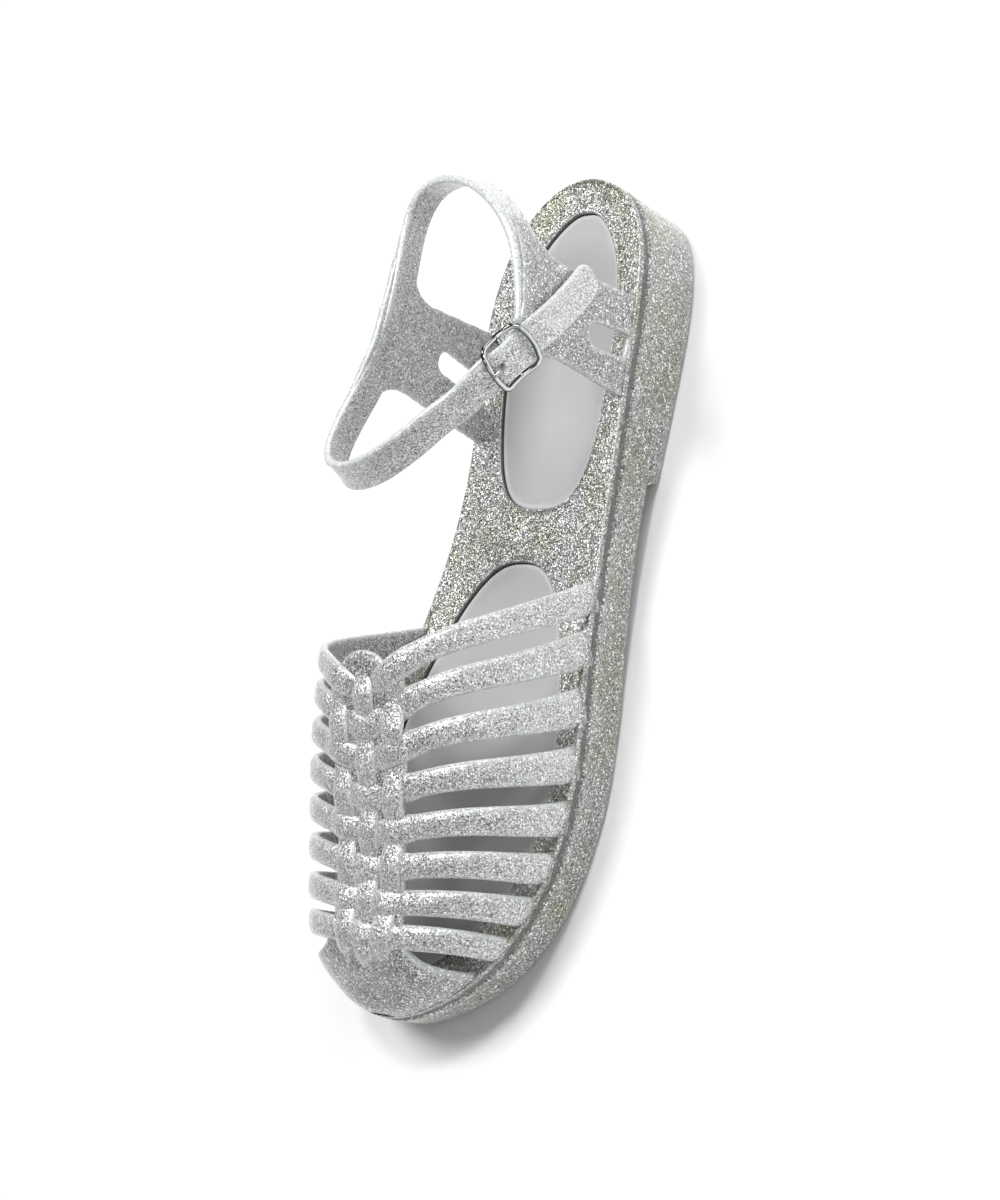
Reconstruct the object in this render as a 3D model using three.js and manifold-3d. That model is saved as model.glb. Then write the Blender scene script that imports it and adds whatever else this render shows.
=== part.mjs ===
// A strappy moulded sandal for the left foot, standing empty and unbent on its sole.
// Millimetres, +Z up. The toe points along -Y and the outer side of the foot along +X.
// Along the foot, places are shares of the sole's length, 0 at the heel and 1 at the toe.
import * as THREE from 'three';
import { mergeVertices } from 'three/addons/utils/BufferGeometryUtils.js';
import Module from 'manifold-3d';

const wasm = await Module();
wasm.setup();

// Driving sizes of the sole
const soleLength = 255;
const ballWidth = 90;
const heelHeight = 24.8;
const toeSpring = 7;
const waistLift = 4;
const sideTaper = 0.9;
const soleEdgeRound = 1.6;
const grooveDepth = 0.9;
const grooveWidth = 1.4;
const breastAt = 0.343;
const breastSlope = 0.007;
const waistEndAt = 0.68;
const toeLiftAt = 0.8;

// Driving sizes of the footbed and its two pads
const seatGap = 0.3;
const footbedRise = 2.4;
const footbedCup = 1;
const footbedRound = 0.7;
const padRecess = 0.8;
const padPocket = 1.2;
const padClearance = 0.35;

// Driving sizes of the upper
const upperWall = 2.4;
const upperInset = 0.6;
const rootDepth = 1.5;
const tabHeight = 66;
const archSide = 0.62;
const archTop = 0.72;
const strapThickness = 2.6;
const strapWidth = 7.2;
const spineHalfWidth = 15;
const tabEndAt = 0.624;
const capEdgeAt = 0.948;
const strapRise = 0.5;
const weaveRise = 1.2;
const weaveThickness = 2;
const weaveStrip = 8.2;
const weaveHole = 3.2;
const weaveHolesAt = [0.725, 0.797, 0.869];

// Driving sizes of the collar and its fastening
const collarHeight = 70;
const collarWidth = 10.4;
const collarThickness = 2.4;
const quarterWall = 2.2;
const tailThickness = 1.8;
const buckleLength = 15.4;
const buckleWidth = 15.6;
const buckleWire = 1.5;
const pinThickness = 1.2;
const fastenGap = 0.5;

// Outline of the sole's top edge: half widths as shares of ballWidth
const outlineRows = [
  { at: 0, lateral: 0, medial: 0 },
  { at: 0.012, lateral: 0.141, medial: -0.145 },
  { at: 0.04, lateral: 0.241, medial: -0.242 },
  { at: 0.09, lateral: 0.313, medial: -0.319 },
  { at: 0.16, lateral: 0.352, medial: -0.349 },
  { at: 0.25, lateral: 0.371, medial: -0.329 },
  { at: 0.35, lateral: 0.387, medial: -0.303 },
  { at: 0.45, lateral: 0.411, medial: -0.312 },
  { at: 0.55, lateral: 0.446, medial: -0.362 },
  { at: 0.64, lateral: 0.488, medial: -0.428 },
  { at: 0.72, lateral: 0.513, medial: -0.471 },
  { at: 0.79, lateral: 0.501, medial: -0.482 },
  { at: 0.86, lateral: 0.454, medial: -0.465 },
  { at: 0.92, lateral: 0.366, medial: -0.412 },
  { at: 0.96, lateral: 0.25, medial: -0.331 },
  { at: 0.988, lateral: 0.108, medial: -0.205 },
  { at: 1, lateral: -0.044, medial: -0.044 },
];

// Height of the sole's top edge, as shares of heelHeight
const topEdgeRows = [
  { at: 0, height: 1 },
  { at: 0.2, height: 0.86 },
  { at: 0.4, height: 0.706 },
  { at: 0.6, height: 0.638 },
  { at: 0.8, height: 0.54 },
  { at: 0.9, height: 0.59 },
  { at: 1, height: 0.73 },
];

// Crest of the vamp over the foot, as shares of tabHeight
const crestRows = [
  { at: 0.45, height: 1.17 },
  { at: 0.56, height: 1.06 },
  { at: 0.63, height: 0.97 },
  { at: 0.693, height: 0.875 },
  { at: 0.752, height: 0.78 },
  { at: 0.811, height: 0.685 },
  { at: 0.87, height: 0.61 },
  { at: 0.929, height: 0.555 },
  { at: 0.9525, height: 0.51 },
  { at: 0.976, height: 0.43 },
  { at: 1, height: 0.32 },
];

// The vamp's straps, rear to front: where each leaves the crest, where it meets the outer and the
// inner rim, how much of that run it leaves to its lower half, and how much wider its foot is
const strapRows = [
  { crest: 0.672, outer: 0.501, inner: 0.560, bow: 0.0, foot: 1.32 },
  { crest: 0.707, outer: 0.560, inner: 0.605, bow: 0.1, foot: 1.50 },
  { crest: 0.743, outer: 0.626, inner: 0.655, bow: 0.2, foot: 1.55 },
  { crest: 0.779, outer: 0.690, inner: 0.705, bow: 0.3, foot: 1.45 },
  { crest: 0.815, outer: 0.752, inner: 0.757, bow: 0.4, foot: 1.40 },
  { crest: 0.851, outer: 0.809, inner: 0.809, bow: 0.4, foot: 1.30 },
  { crest: 0.887, outer: 0.860, inner: 0.860, bow: 0.4, foot: 1.30 },
  { crest: 0.922, outer: 0.906, inner: 0.906, bow: 0.4, foot: 1.15 },
];

// The collar band, from the outer quarter round the heel and the instep to the buckle.
// across is a share of ballWidth, height one of collarHeight, lean tips its top inwards in degrees.
const collarRows = [
  { at: 0.250, across: 0.377, height: 0.905, lean: -2 },
  { at: 0.200, across: 0.351, height: 0.927, lean: 1 },
  { at: 0.161, across: 0.308, height: 0.945, lean: 4 },
  { at: 0.128, across: 0.243, height: 0.963, lean: 9 },
  { at: 0.098, across: 0.144, height: 0.975, lean: 11 },
  { at: 0.077, across: 0.030, height: 0.977, lean: 11 },
  { at: 0.067, across: -0.088, height: 0.970, lean: 11 },
  { at: 0.069, across: -0.201, height: 0.955, lean: 15 },
  { at: 0.088, across: -0.278, height: 0.936, lean: 17 },
  { at: 0.121, across: -0.301, height: 0.919, lean: 17 },
  { at: 0.164, across: -0.298, height: 0.905, lean: 15 },
  { at: 0.215, across: -0.291, height: 0.897, lean: 11 },
  { at: 0.266, across: -0.288, height: 0.901, lean: 8 },
  { at: 0.312, across: -0.310, height: 0.919, lean: 7 },
  { at: 0.353, across: -0.340, height: 0.943, lean: 9 },
  { at: 0.390, across: -0.351, height: 0.962, lean: 14 },
  { at: 0.415, across: -0.330, height: 0.973, lean: 18 },
  { at: 0.428, across: -0.268, height: 0.982, lean: 20 },
  { at: 0.429, across: -0.166, height: 0.997, lean: 20 },
  { at: 0.418, across: -0.051, height: 1.013, lean: 19 },
  { at: 0.398, across: 0.056, height: 1.021, lean: 17 },
  { at: 0.370, across: 0.153, height: 1.013, lean: 14 },
  { at: 0.343, across: 0.239, height: 0.990, lean: 11 },
];

// The band's loose tail beyond the buckle, lying over the outer quarter
const tailRows = [
  { at: 0.235, height: 0.83, width: 1 },
  { at: 0.21, height: 0.755, width: 1 },
  { at: 0.182, height: 0.68, width: 1 },
  { at: 0.162, height: 0.63, width: 0.95 },
  { at: 0.151, height: 0.603, width: 0.55 },
];
const buckleAt = 0.287;
const buckleHeight = 0.946;

// Where the quarters' straight rise ends and how high they reach, as shares of collarHeight, and the
// stretch of the foot that each one's sheet spans
const quarterRise = 0.93;
const quarterReach = 1.01;
const lateralSpan = { from: 0.105, to: 0.325 };
const medialSpan = { from: 0.11, to: 0.38 };

// Side view of each quarter: a corner's place, its height above the rim as a share of the collar's
// height above the rim, and the radius that rounds it as a share of collarHeight
const lateralQuarter = [
  { at: 0.15, up: -0.04, round: 0 },
  { at: 0.157, up: 0.72, round: 0.129 },
  { at: 0.112, up: 0.88, round: 0 },
  { at: 0.112, up: 0.97, round: 0 },
  { at: 0.25, up: 0.94, round: 0.114 },
  { at: 0.296, up: 0.97, round: 0.043 },
  { at: 0.306, up: 0.84, round: 0.043 },
  { at: 0.264, up: 0.64, round: 0.129 },
  { at: 0.27, up: -0.04, round: 0 },
];
const medialQuarter = [
  { at: 0.184, up: -0.04, round: 0 },
  { at: 0.194, up: 0.72, round: 0.114 },
  { at: 0.12, up: 0.84, round: 0 },
  { at: 0.12, up: 0.95, round: 0 },
  { at: 0.38, up: 1, round: 0 },
  { at: 0.38, up: 0.87, round: 0 },
  { at: 0.297, up: 0.8, round: 0.171 },
  { at: 0.32, up: -0.04, round: 0 },
];
const lateralSlot = { from: 0.197, to: 0.226, top: 0.32, lean: -0.006 };
const medialSlot = { from: 0.244, to: 0.271, top: 0.4, lean: 0.01 };

// How finely the curves are drawn
const outlineSteps = 26;
const padSteps = 14;
const archSteps = 9;
const hullSteps = 13;
const strapSteps = 8;
const bandCuts = 2;

const silver = { color: 0xb9bab6, roughness: 0.3, metalness: 0.35 };
const solePlastic = new THREE.MeshStandardMaterial({ ...silver, color: 0xa9aaa2 });
const upperPlastic = new THREE.MeshStandardMaterial(silver);
const padFoam = new THREE.MeshStandardMaterial({ color: 0xbdb9bd, roughness: 0.6, metalness: 0 });
const chrome = new THREE.MeshStandardMaterial({ color: 0xd0d2d4, roughness: 0.12, metalness: 1 });

const v = (x, y, z) => new THREE.Vector3(x, y, z);
const mix = THREE.MathUtils.lerp;
const alongY = (at) => soleLength * (0.5 - at);
const shareOf = (y) => THREE.MathUtils.clamp(0.5 - y / soleLength, 0, 1);
const turnOf = (at) => Math.acos(1 - 2 * THREE.MathUtils.clamp(at, 0, 1));

// A smooth curve through one column of a table, rounding off at the heel and toe
function column(rows, name) {
  const turns = rows.map((row) => turnOf(row.at));
  const values = rows.map((row) => row[name]);
  const last = rows.length - 1;
  const slope = (i) => {
    const low = Math.max(i - 1, 0);
    const high = Math.min(i + 1, last);
    return (values[high] - values[low]) / (turns[high] - turns[low]);
  };
  return (at) => {
    const turn = THREE.MathUtils.clamp(turnOf(at), turns[0], turns[last]);
    const found = turns.findIndex((value) => value >= turn);
    const i = Math.max(found - 1, 0);
    const run = turns[i + 1] - turns[i];
    const t = (turn - turns[i]) / run;
    const rise = values[i + 1] - values[i];
    const start = slope(i) * run;
    const end = slope(i + 1) * run;
    return values[i] + t * (start + t * (3 * rise - 2 * start - end + t * (start + end - 2 * rise)));
  };
}

const lateralShare = column(outlineRows, 'lateral');
const medialShare = column(outlineRows, 'medial');
const topShare = column(topEdgeRows, 'height');
const crestShare = column(crestRows, 'height');
const edgeX = (side, y) => ballWidth * (side > 0 ? lateralShare : medialShare)(shareOf(y));
const topEdge = (y) => heelHeight * topShare(shareOf(y));

// The underside: flat under heel and ball, lifted behind the heel's breast and at the toe
function underside(y) {
  const at = shareOf(y);
  if (at > toeLiftAt) return toeSpring * ((at - toeLiftAt) / (1 - toeLiftAt)) ** 2;
  if (at < breastAt || at > waistEndAt) return 0;
  const waistStart = breastAt + breastSlope;
  if (at < waistStart) return (waistLift * (at - breastAt)) / breastSlope;
  const t = (waistEndAt - at) / (waistEndAt - waistStart);
  return waistLift * t * t * (3 - 2 * t);
}

// The footbed's surface, lower in the middle than at its rim
function footbed(x, y) {
  const low = edgeX(-1, y);
  const high = edgeX(1, y);
  const half = Math.max((high - low) / 2, 1);
  const offCentre = Math.min(Math.abs(x - (low + high) / 2) / half, 1);
  return topEdge(y) + footbedRise - footbedCup * (1 - offCentre ** 2);
}

// One mesh from shared points and triangles
function meshFrom(points, faces) {
  const geometry = new THREE.BufferGeometry();
  geometry.setAttribute('position', new THREE.Float32BufferAttribute(points.flatMap((p) => p.toArray()), 3));
  geometry.setIndex(faces.flat());
  return geometry;
}

// A THREE geometry as a solid for joining and cutting
function solid(source) {
  const bare = source.clone();
  for (const name of Object.keys(bare.attributes)) {
    if (name !== 'position') bare.deleteAttribute(name);
  }
  const merged = mergeVertices(bare, 1e-4);
  return new wasm.Manifold(new wasm.Mesh({
    numProp: 3,
    vertProperties: new Float32Array(merged.attributes.position.array),
    triVerts: new Uint32Array(merged.index.array),
  }));
}

function geometryOf(body) {
  const mesh = body.getMesh();
  const geometry = new THREE.BufferGeometry();
  geometry.setAttribute('position', new THREE.BufferAttribute(new Float32Array(mesh.vertProperties), 3));
  geometry.setIndex(new THREE.BufferAttribute(new Uint32Array(mesh.triVerts), 1));
  return geometry;
}

const joined = (bodies) => bodies.reduce((all, body) => all.add(body));

// A closed skin over sections that all have the same number of points, ends capped as fans
function loft(sections) {
  const count = sections[0].length;
  const points = sections.flat();
  const faces = [];
  for (let i = 0; i + 1 < sections.length; i += 1) {
    for (let j = 0; j < count; j += 1) {
      const a = i * count + j;
      const b = i * count + ((j + 1) % count);
      faces.push([a, b, b + count], [a, b + count, a + count]);
    }
  }
  const lastStart = points.length - count;
  for (let j = 1; j + 1 < count; j += 1) {
    faces.push([0, j + 1, j], [lastStart, lastStart + j, lastStart + j + 1]);
  }
  return solid(meshFrom(points, faces));
}

// Points round an outline: heel tip, outer side, toe tip, inner side. plan gives a side's x at a y,
// and extra lists places that need points of their own.
function ringPlan(plan, heelY, toeY, steps, extra = []) {
  const tip = (y) => v((plan(1, y) + plan(-1, y)) / 2, y, 0);
  const even = Array.from({ length: steps - 1 }, (_, i) => {
    return mix(heelY, toeY, (1 - Math.cos((Math.PI * (i + 1)) / steps)) / 2);
  });
  const ys = [...even, ...extra].sort((a, b) => b - a);
  const outer = ys.map((y) => v(plan(1, y), y, 0));
  const inner = ys.map((y) => v(plan(-1, y), y, 0)).reverse();
  return [tip(heelY), ...outer, tip(toeY), ...inner];
}

// The same points moved inwards along the outline's normal, at a height given by place
function ringAt(plan, inset, height) {
  return plan.map((point, i) => {
    const before = plan[(i + plan.length - 1) % plan.length];
    const after = plan[(i + 1) % plan.length];
    const along = after.clone().sub(before).normalize();
    const moved = point.clone().add(v(along.y, -along.x, 0).multiplyScalar(inset));
    moved.z = height(moved.x, moved.y);
    return moved;
  });
}

// A solid from rings, lowest first, with ruled faces across its underside and top
function slab(rings, topHeight) {
  const count = rings[0].length;
  const half = count / 2;
  const points = rings.flat();
  const faces = [];
  for (let i = 0; i + 1 < rings.length; i += 1) {
    for (let j = 0; j < count; j += 1) {
      const a = i * count + j;
      const b = i * count + ((j + 1) % count);
      faces.push([a, b + count, b], [a, a + count, b + count]);
    }
  }
  const across = [0.25, 0.5, 0.75];
  const top = (rings.length - 1) * count;
  const rows = [];
  for (let i = 1; i < half; i += 1) {
    const outer = points[top + i];
    const inner = points[top + count - i];
    const start = points.length;
    for (const share of across) {
      const point = outer.clone().lerp(inner, share);
      point.z = topHeight(point.x, point.y);
      points.push(point);
    }
    rows.push([top + i, start, start + 1, start + 2, top + count - i]);
    if (i < half - 1) faces.push([i, i + 1, count - i - 1], [i, count - i - 1, count - i]);
  }
  faces.push([0, 1, count - 1], [half, count - half + 1, half - 1]);
  for (let i = 0; i + 1 < rows.length; i += 1) {
    for (let j = 0; j + 1 < rows[i].length; j += 1) {
      const [a, b, c, d] = [rows[i][j], rows[i][j + 1], rows[i + 1][j], rows[i + 1][j + 1]];
      faces.push([a, d, c], [a, b, d]);
    }
  }
  const lastRow = rows[rows.length - 1];
  for (let j = 0; j + 1 < rows[0].length; j += 1) {
    faces.push([top, rows[0][j + 1], rows[0][j]], [top + half, lastRow[j], lastRow[j + 1]]);
  }
  return solid(meshFrom(points, faces));
}

const breastEnds = [alongY(breastAt), alongY(breastAt + breastSlope)];
const outline = ringPlan(edgeX, alongY(0), alongY(1), outlineSteps, breastEnds);

function soleBlock() {
  const above = (rise) => (x, y) => underside(y) + rise;
  const below = (drop) => (x, y) => topEdge(y) - drop;
  return slab([
    ringAt(outline, sideTaper + soleEdgeRound, above(0)),
    ringAt(outline, sideTaper, above(soleEdgeRound)),
    ringAt(outline, 0, below(grooveWidth + grooveDepth)),
    ringAt(outline, grooveDepth, below(grooveWidth)),
    ringAt(outline, grooveDepth, below(0)),
  ], below(0));
}

function footbedPlate() {
  const over = (rise) => (x, y) => topEdge(y) + rise;
  return slab([
    ringAt(outline, footbedRound, over(seatGap)),
    ringAt(outline, 0, over(seatGap + footbedRound)),
    ringAt(outline, 0, over(footbedRise - footbedRound)),
    ringAt(outline, footbedRound, over(footbedRise)),
  ], footbed);
}

// The two pads follow the outline at a distance that is a share of ballWidth, with rounded ends
const padRows = {
  insole_heel: { from: 0.042, to: 0.398, outer: 0.0944, inner: 0.1222, squareness: 3 },
  insole_forefoot: { from: 0.463, to: 0.942, outer: 0.1, inner: 0.0944, squareness: 2.6 },
};

function padPlan(row, grow) {
  const middle = (row.from + row.to) / 2;
  const halfLength = ((row.to - row.from) / 2) * soleLength + grow;
  const plan = (side, y) => {
    const off = Math.min(Math.abs(y - alongY(middle)) / halfLength, 1);
    const narrow = (1 - off ** row.squareness) ** (1 / row.squareness);
    const low = edgeX(-1, y) + row.inner * ballWidth - grow;
    const high = edgeX(1, y) - row.outer * ballWidth + grow;
    return mix((low + high) / 2, side > 0 ? high : low, narrow);
  };
  return ringPlan(plan, alongY(middle) + halfLength, alongY(middle) - halfLength, padSteps);
}

function insolePad(row) {
  const plan = padPlan(row, 0);
  const floor = (x, y) => topEdge(y) - padPocket + seatGap;
  const face = (x, y) => footbed(x, y) - padRecess;
  return slab([ringAt(plan, 0, floor), ringAt(plan, 0, face)], face);
}

function padRoom(row) {
  const plan = padPlan(row, padClearance);
  const over = (x, y) => topEdge(y) + footbedRise * 2;
  return slab([ringAt(plan, 0, (x, y) => topEdge(y) - padPocket), ringAt(plan, 0, over)], over);
}

// The vamp's arch over the foot: s runs from -1 at the inner rim over 0 at the crest to 1 at the outer
function archAt(y, inset) {
  const low = edgeX(-1, y) + inset;
  const high = edgeX(1, y) - inset;
  const base = topEdge(y) + rootDepth / 2;
  const rise = Math.max(tabHeight * crestShare(shareOf(y)) - (inset - upperInset) - base, 0.4);
  const crest = (low + high) * 0.1;
  const side = (edge) => {
    const width = edge - crest;
    const fine = 24;
    const line = Array.from({ length: fine + 1 }, (_, i) => {
      const turn = (Math.PI / 2) * (1 - i / fine);
      return v(crest + width * Math.cos(turn) ** archSide, y, base + rise * Math.sin(turn) ** archTop);
    });
    line[fine].z = base;
    const travelled = [0];
    for (let i = 1; i <= fine; i += 1) travelled.push(travelled[i - 1] + line[i].distanceTo(line[i - 1]));
    return (share) => {
      const goal = share * travelled[fine];
      const i = Math.min(Math.max(travelled.findIndex((value) => value >= goal), 1), fine);
      const t = (goal - travelled[i - 1]) / (travelled[i] - travelled[i - 1]);
      return line[i - 1].clone().lerp(line[i], t);
    };
  };
  const outer = side(high);
  const inner = side(low);
  return (s) => (s >= 0 ? outer(s) : inner(-s));
}

// A closed form of the arch from a place on the foot to the toe, its floor sunk below the rim
function archHull(fromAt, inset, sunk) {
  const start = alongY(fromAt);
  const end = alongY(1) + inset;
  const sections = Array.from({ length: hullSteps + 1 }, (_, i) => {
    const y = mix(start, end, Math.sin((Math.PI / 2) * (i / hullSteps)) * 0.999);
    const arch = archAt(y, inset);
    const line = Array.from({ length: archSteps * 2 + 1 }, (_unused, j) => arch(1 - j / archSteps));
    const floor = [line[line.length - 1], line[0]].map((rim) => v(rim.x, y, rim.z - sunk));
    return [...line, ...floor];
  });
  return loft(sections);
}

// A tall prism over a shape drawn in plan
function planPrism(shape) {
  const depth = tabHeight * 2;
  return solid(new THREE.ExtrudeGeometry(shape, { depth, bevelEnabled: false, curveSegments: 10 }));
}

function spineShape() {
  const rear = alongY(tabEndAt) - spineHalfWidth;
  const front = alongY(capEdgeAt + 0.05);
  const shape = new THREE.Shape();
  shape.moveTo(-spineHalfWidth, front);
  shape.lineTo(spineHalfWidth, front);
  shape.lineTo(spineHalfWidth, rear);
  shape.absarc(0, rear, spineHalfWidth, 0, Math.PI, false);
  return shape;
}

function capShape() {
  const edge = alongY(capEdgeAt);
  const shape = new THREE.Shape();
  shape.moveTo(-ballWidth, edge - soleLength / 4);
  shape.lineTo(ballWidth, edge - soleLength / 4);
  shape.lineTo(ballWidth, edge - spineHalfWidth);
  shape.quadraticCurveTo(spineHalfWidth * 1.5, edge, spineHalfWidth * 0.9, edge + spineHalfWidth / 4);
  shape.lineTo(-spineHalfWidth * 0.9, edge + spineHalfWidth / 4);
  shape.quadraticCurveTo(-spineHalfWidth * 1.5, edge, -ballWidth, edge - spineHalfWidth);
  return shape;
}

// A band along frames of a middle point, an outward normal and a direction across
const bandSection = [
  { across: -0.5, out: -0.5 },
  { across: 0.5, out: -0.5 },
  { across: 0.5, out: 0.05 },
  { across: 0.3, out: 0.5 },
  { across: -0.3, out: 0.5 },
  { across: -0.5, out: 0.05 },
];

function band(frames) {
  return loft(frames.map(({ point, out, across, width, thickness }) => bandSection.map((corner) => {
    return point.clone()
      .addScaledVector(across, corner.across * width)
      .addScaledVector(out, corner.out * thickness);
  })));
}

// Squares up each place along a band: its outward direction and its direction across
function framesAlong(places) {
  return places.map((place, i) => {
    const before = places[Math.max(i - 1, 0)].point;
    const after = places[Math.min(i + 1, places.length - 1)].point;
    const along = after.clone().sub(before).normalize();
    const across = place.out.clone().cross(along).normalize();
    return { ...place, across, out: along.cross(across).normalize() };
  });
}

const normalStep = 0.6;

// A point of the vamp's outer face, sunk below it, with the face's normal
function vampPoint(y, s, sink) {
  const arch = archAt(y, upperInset);
  const point = arch(s);
  const nudge = normalStep / soleLength * 4;
  const along = archAt(y - normalStep, upperInset)(s).sub(archAt(y + normalStep, upperInset)(s));
  const round = arch(Math.min(s + nudge, 1)).sub(arch(Math.max(s - nudge, -1)));
  const out = round.cross(along).normalize().negate();
  return { point: point.addScaledVector(out, -sink), out };
}

function vampStrap(row, side) {
  const places = Array.from({ length: strapSteps + 1 }, (_, i) => {
    const s = i / strapSteps;
    const rim = side > 0 ? row.outer : row.inner;
    const y = alongY(mix(row.crest, rim, mix(s, s * s, row.bow)));
    const place = vampPoint(y, side * Math.max(s, 0.02), strapThickness / 2 - strapRise);
    return { ...place, width: strapWidth * mix(1, row.foot, s ** 2.5), thickness: strapThickness };
  });
  return band(framesAlong(places));
}

// How far apart the strips lie, as a share of the arch's run from its crest to its rim
const stripSpacing = 0.165;

// Raised stretches of the spine's three lengthwise strips, where each crosses over a strap
function weaveStrips() {
  const strips = [];
  const reach = strapWidth * 0.64;
  strapRows.forEach((row, i) => {
    [-1, 0, 1].filter((strip) => (i + strip) % 2 === 0).forEach((strip) => {
      const ends = [-reach, -reach / 2, reach / 2, reach];
      const places = ends.map((offset) => {
        const sink = Math.abs(offset) === reach ? weaveThickness : weaveThickness / 2 - weaveRise;
        const place = vampPoint(alongY(row.crest) + offset, strip * stripSpacing, sink);
        return { ...place, width: weaveStrip, thickness: weaveThickness };
      });
      strips.push(band(framesAlong(places)));
    });
  });
  return joined(strips);
}

// Small gaps left between the strips at the middle of the spine
function weaveHoles() {
  const holes = weaveHolesAt.map((at) => {
    const y = alongY(at);
    const shape = new THREE.Shape();
    shape.moveTo(-weaveStrip / 2 - weaveHole * 0.6, y - weaveHole / 3);
    shape.lineTo(-weaveStrip / 2 + weaveHole * 0.6, y - weaveHole / 3);
    shape.lineTo(-weaveStrip / 2 + weaveHole * 0.8, y + weaveHole / 3);
    shape.lineTo(-weaveStrip / 2 - weaveHole * 0.4, y + weaveHole / 3);
    return planPrism(shape);
  });
  return joined(holes);
}

function vamp() {
  const inside = archHull(tabEndAt - 0.05, upperInset + upperWall, heelHeight);
  const skin = archHull(tabEndAt - 0.03, upperInset, 0.2).subtract(inside);
  const spine = skin.intersect(planPrism(spineShape()));
  const cap = skin.intersect(planPrism(capShape()));
  const straps = strapRows.flatMap((row) => [vampStrap(row, 1), vampStrap(row, -1)]);
  return joined([spine, cap, weaveStrips(), ...straps]).subtract(weaveHoles());
}

const collarPoint = (row) => v(row.across * ballWidth, alongY(row.at), row.height * collarHeight);
const collarMiddle = v(0, alongY(0.25), 0);

// The collar's outward direction, its top tipped inwards
function collarOut(point, lean) {
  const away = v(point.x - collarMiddle.x, (point.y - collarMiddle.y) * 0.6, 0).normalize();
  const tip = THREE.MathUtils.degToRad(lean);
  return away.multiplyScalar(Math.cos(tip)).add(v(0, 0, Math.sin(tip)));
}

// The quarter's middle surface at one side: up from the rim to the collar
function wallX(side, y, z) {
  const foot = edgeX(side, y) - side * (upperInset + quarterWall / 2);
  const base = topEdge(y) + footbedRise;
  const row = side > 0 ? lateralTop(shareOf(y)) : medialTop(shareOf(y));
  const t = THREE.MathUtils.clamp((z - base) / (collarHeight * quarterRise - base), -0.1, 1.1);
  return mix(foot, row * ballWidth, Math.max(t, 0) ** 0.9);
}
const rising = (rows) => [...rows].sort((a, b) => a.at - b.at);
const lateralTop = column(rising([...collarRows.slice(0, 5), ...collarRows.slice(-2)]), 'across');
const medialTop = column(rising(collarRows.slice(8, 16)), 'across');

// A quarter drawn in side view, as a prism across the shoe
function sidePrism(rows, side) {
  const place = (row) => {
    const y = alongY(row.at);
    const rim = topEdge(y) + footbedRise;
    const corner = new THREE.Vector2(y, rim + row.up * (collarHeight * quarterReach - rim));
    return { corner, round: row.round * collarHeight };
  };
  const places = rows.map(place);
  const shape = new THREE.Shape();
  places.forEach(({ corner, round }, i) => {
    const before = places[(i + places.length - 1) % places.length].corner;
    const after = places[(i + 1) % places.length].corner;
    const back = before.clone().sub(corner);
    const ahead = after.clone().sub(corner);
    const reach = Math.min(round, back.length() / 2, ahead.length() / 2);
    const enter = corner.clone().addScaledVector(back.normalize(), reach);
    const leave = corner.clone().addScaledVector(ahead.normalize(), reach);
    if (i === 0) shape.moveTo(enter.x, enter.y);
    else shape.lineTo(enter.x, enter.y);
    if (reach > 0) shape.quadraticCurveTo(corner.x, corner.y, leave.x, leave.y);
  });
  return acrossShoe(shape, side);
}

// Extrudes a shape drawn in (Y, Z) from the shoe's middle out past one side
function acrossShoe(shape, side) {
  const depth = ballWidth;
  const prism = new THREE.ExtrudeGeometry(shape, { depth, bevelEnabled: false, curveSegments: 6 });
  const turn = new THREE.Matrix4().makeBasis(v(0, 1, 0), v(0, 0, 1), v(1, 0, 0));
  prism.applyMatrix4(turn);
  if (side < 0) prism.translate(-depth, 0, 0);
  return solid(prism);
}

function slotPrism(slot, side) {
  const low = alongY(slot.to);
  const high = alongY(slot.from);
  const rim = topEdge(low);
  const base = rim + footbedRise * 1.3;
  const top = rim + slot.top * (collarHeight - rim);
  const radius = (high - low) / 2;
  const shift = slot.lean * soleLength;
  const shape = new THREE.Shape();
  shape.moveTo(low, base);
  shape.lineTo(high, base);
  shape.lineTo(high + shift, top);
  shape.absarc((low + high) / 2 + shift, top, radius, 0, Math.PI, false);
  return acrossShoe(shape, side);
}

// The wall that a quarter is cut from: a thick sheet between the rim and the collar
function quarterSheet(side, fromAt, toAt) {
  const cells = { long: 9, high: 6 };
  const sections = Array.from({ length: cells.long + 1 }, (_, i) => {
    const y = alongY(mix(fromAt, toAt, i / cells.long));
    const low = topEdge(y) + rootDepth / 2;
    const outer = [];
    const inner = [];
    for (let j = 0; j <= cells.high; j += 1) {
      const z = mix(low, collarHeight * (quarterReach + 0.01), j / cells.high);
      const x = wallX(side, y, z);
      outer.push(v(x + quarterWall / 2, y, z));
      inner.push(v(x - quarterWall / 2, y, z));
    }
    return [...outer, ...inner.reverse()];
  });
  return loft(sections);
}

function quarter(side) {
  const rows = side > 0 ? lateralQuarter : medialQuarter;
  const slot = side > 0 ? lateralSlot : medialSlot;
  const span = side > 0 ? lateralSpan : medialSpan;
  const sheet = quarterSheet(side, span.from, span.to);
  return sheet.intersect(sidePrism(rows, side)).subtract(slotPrism(slot, side));
}

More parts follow.
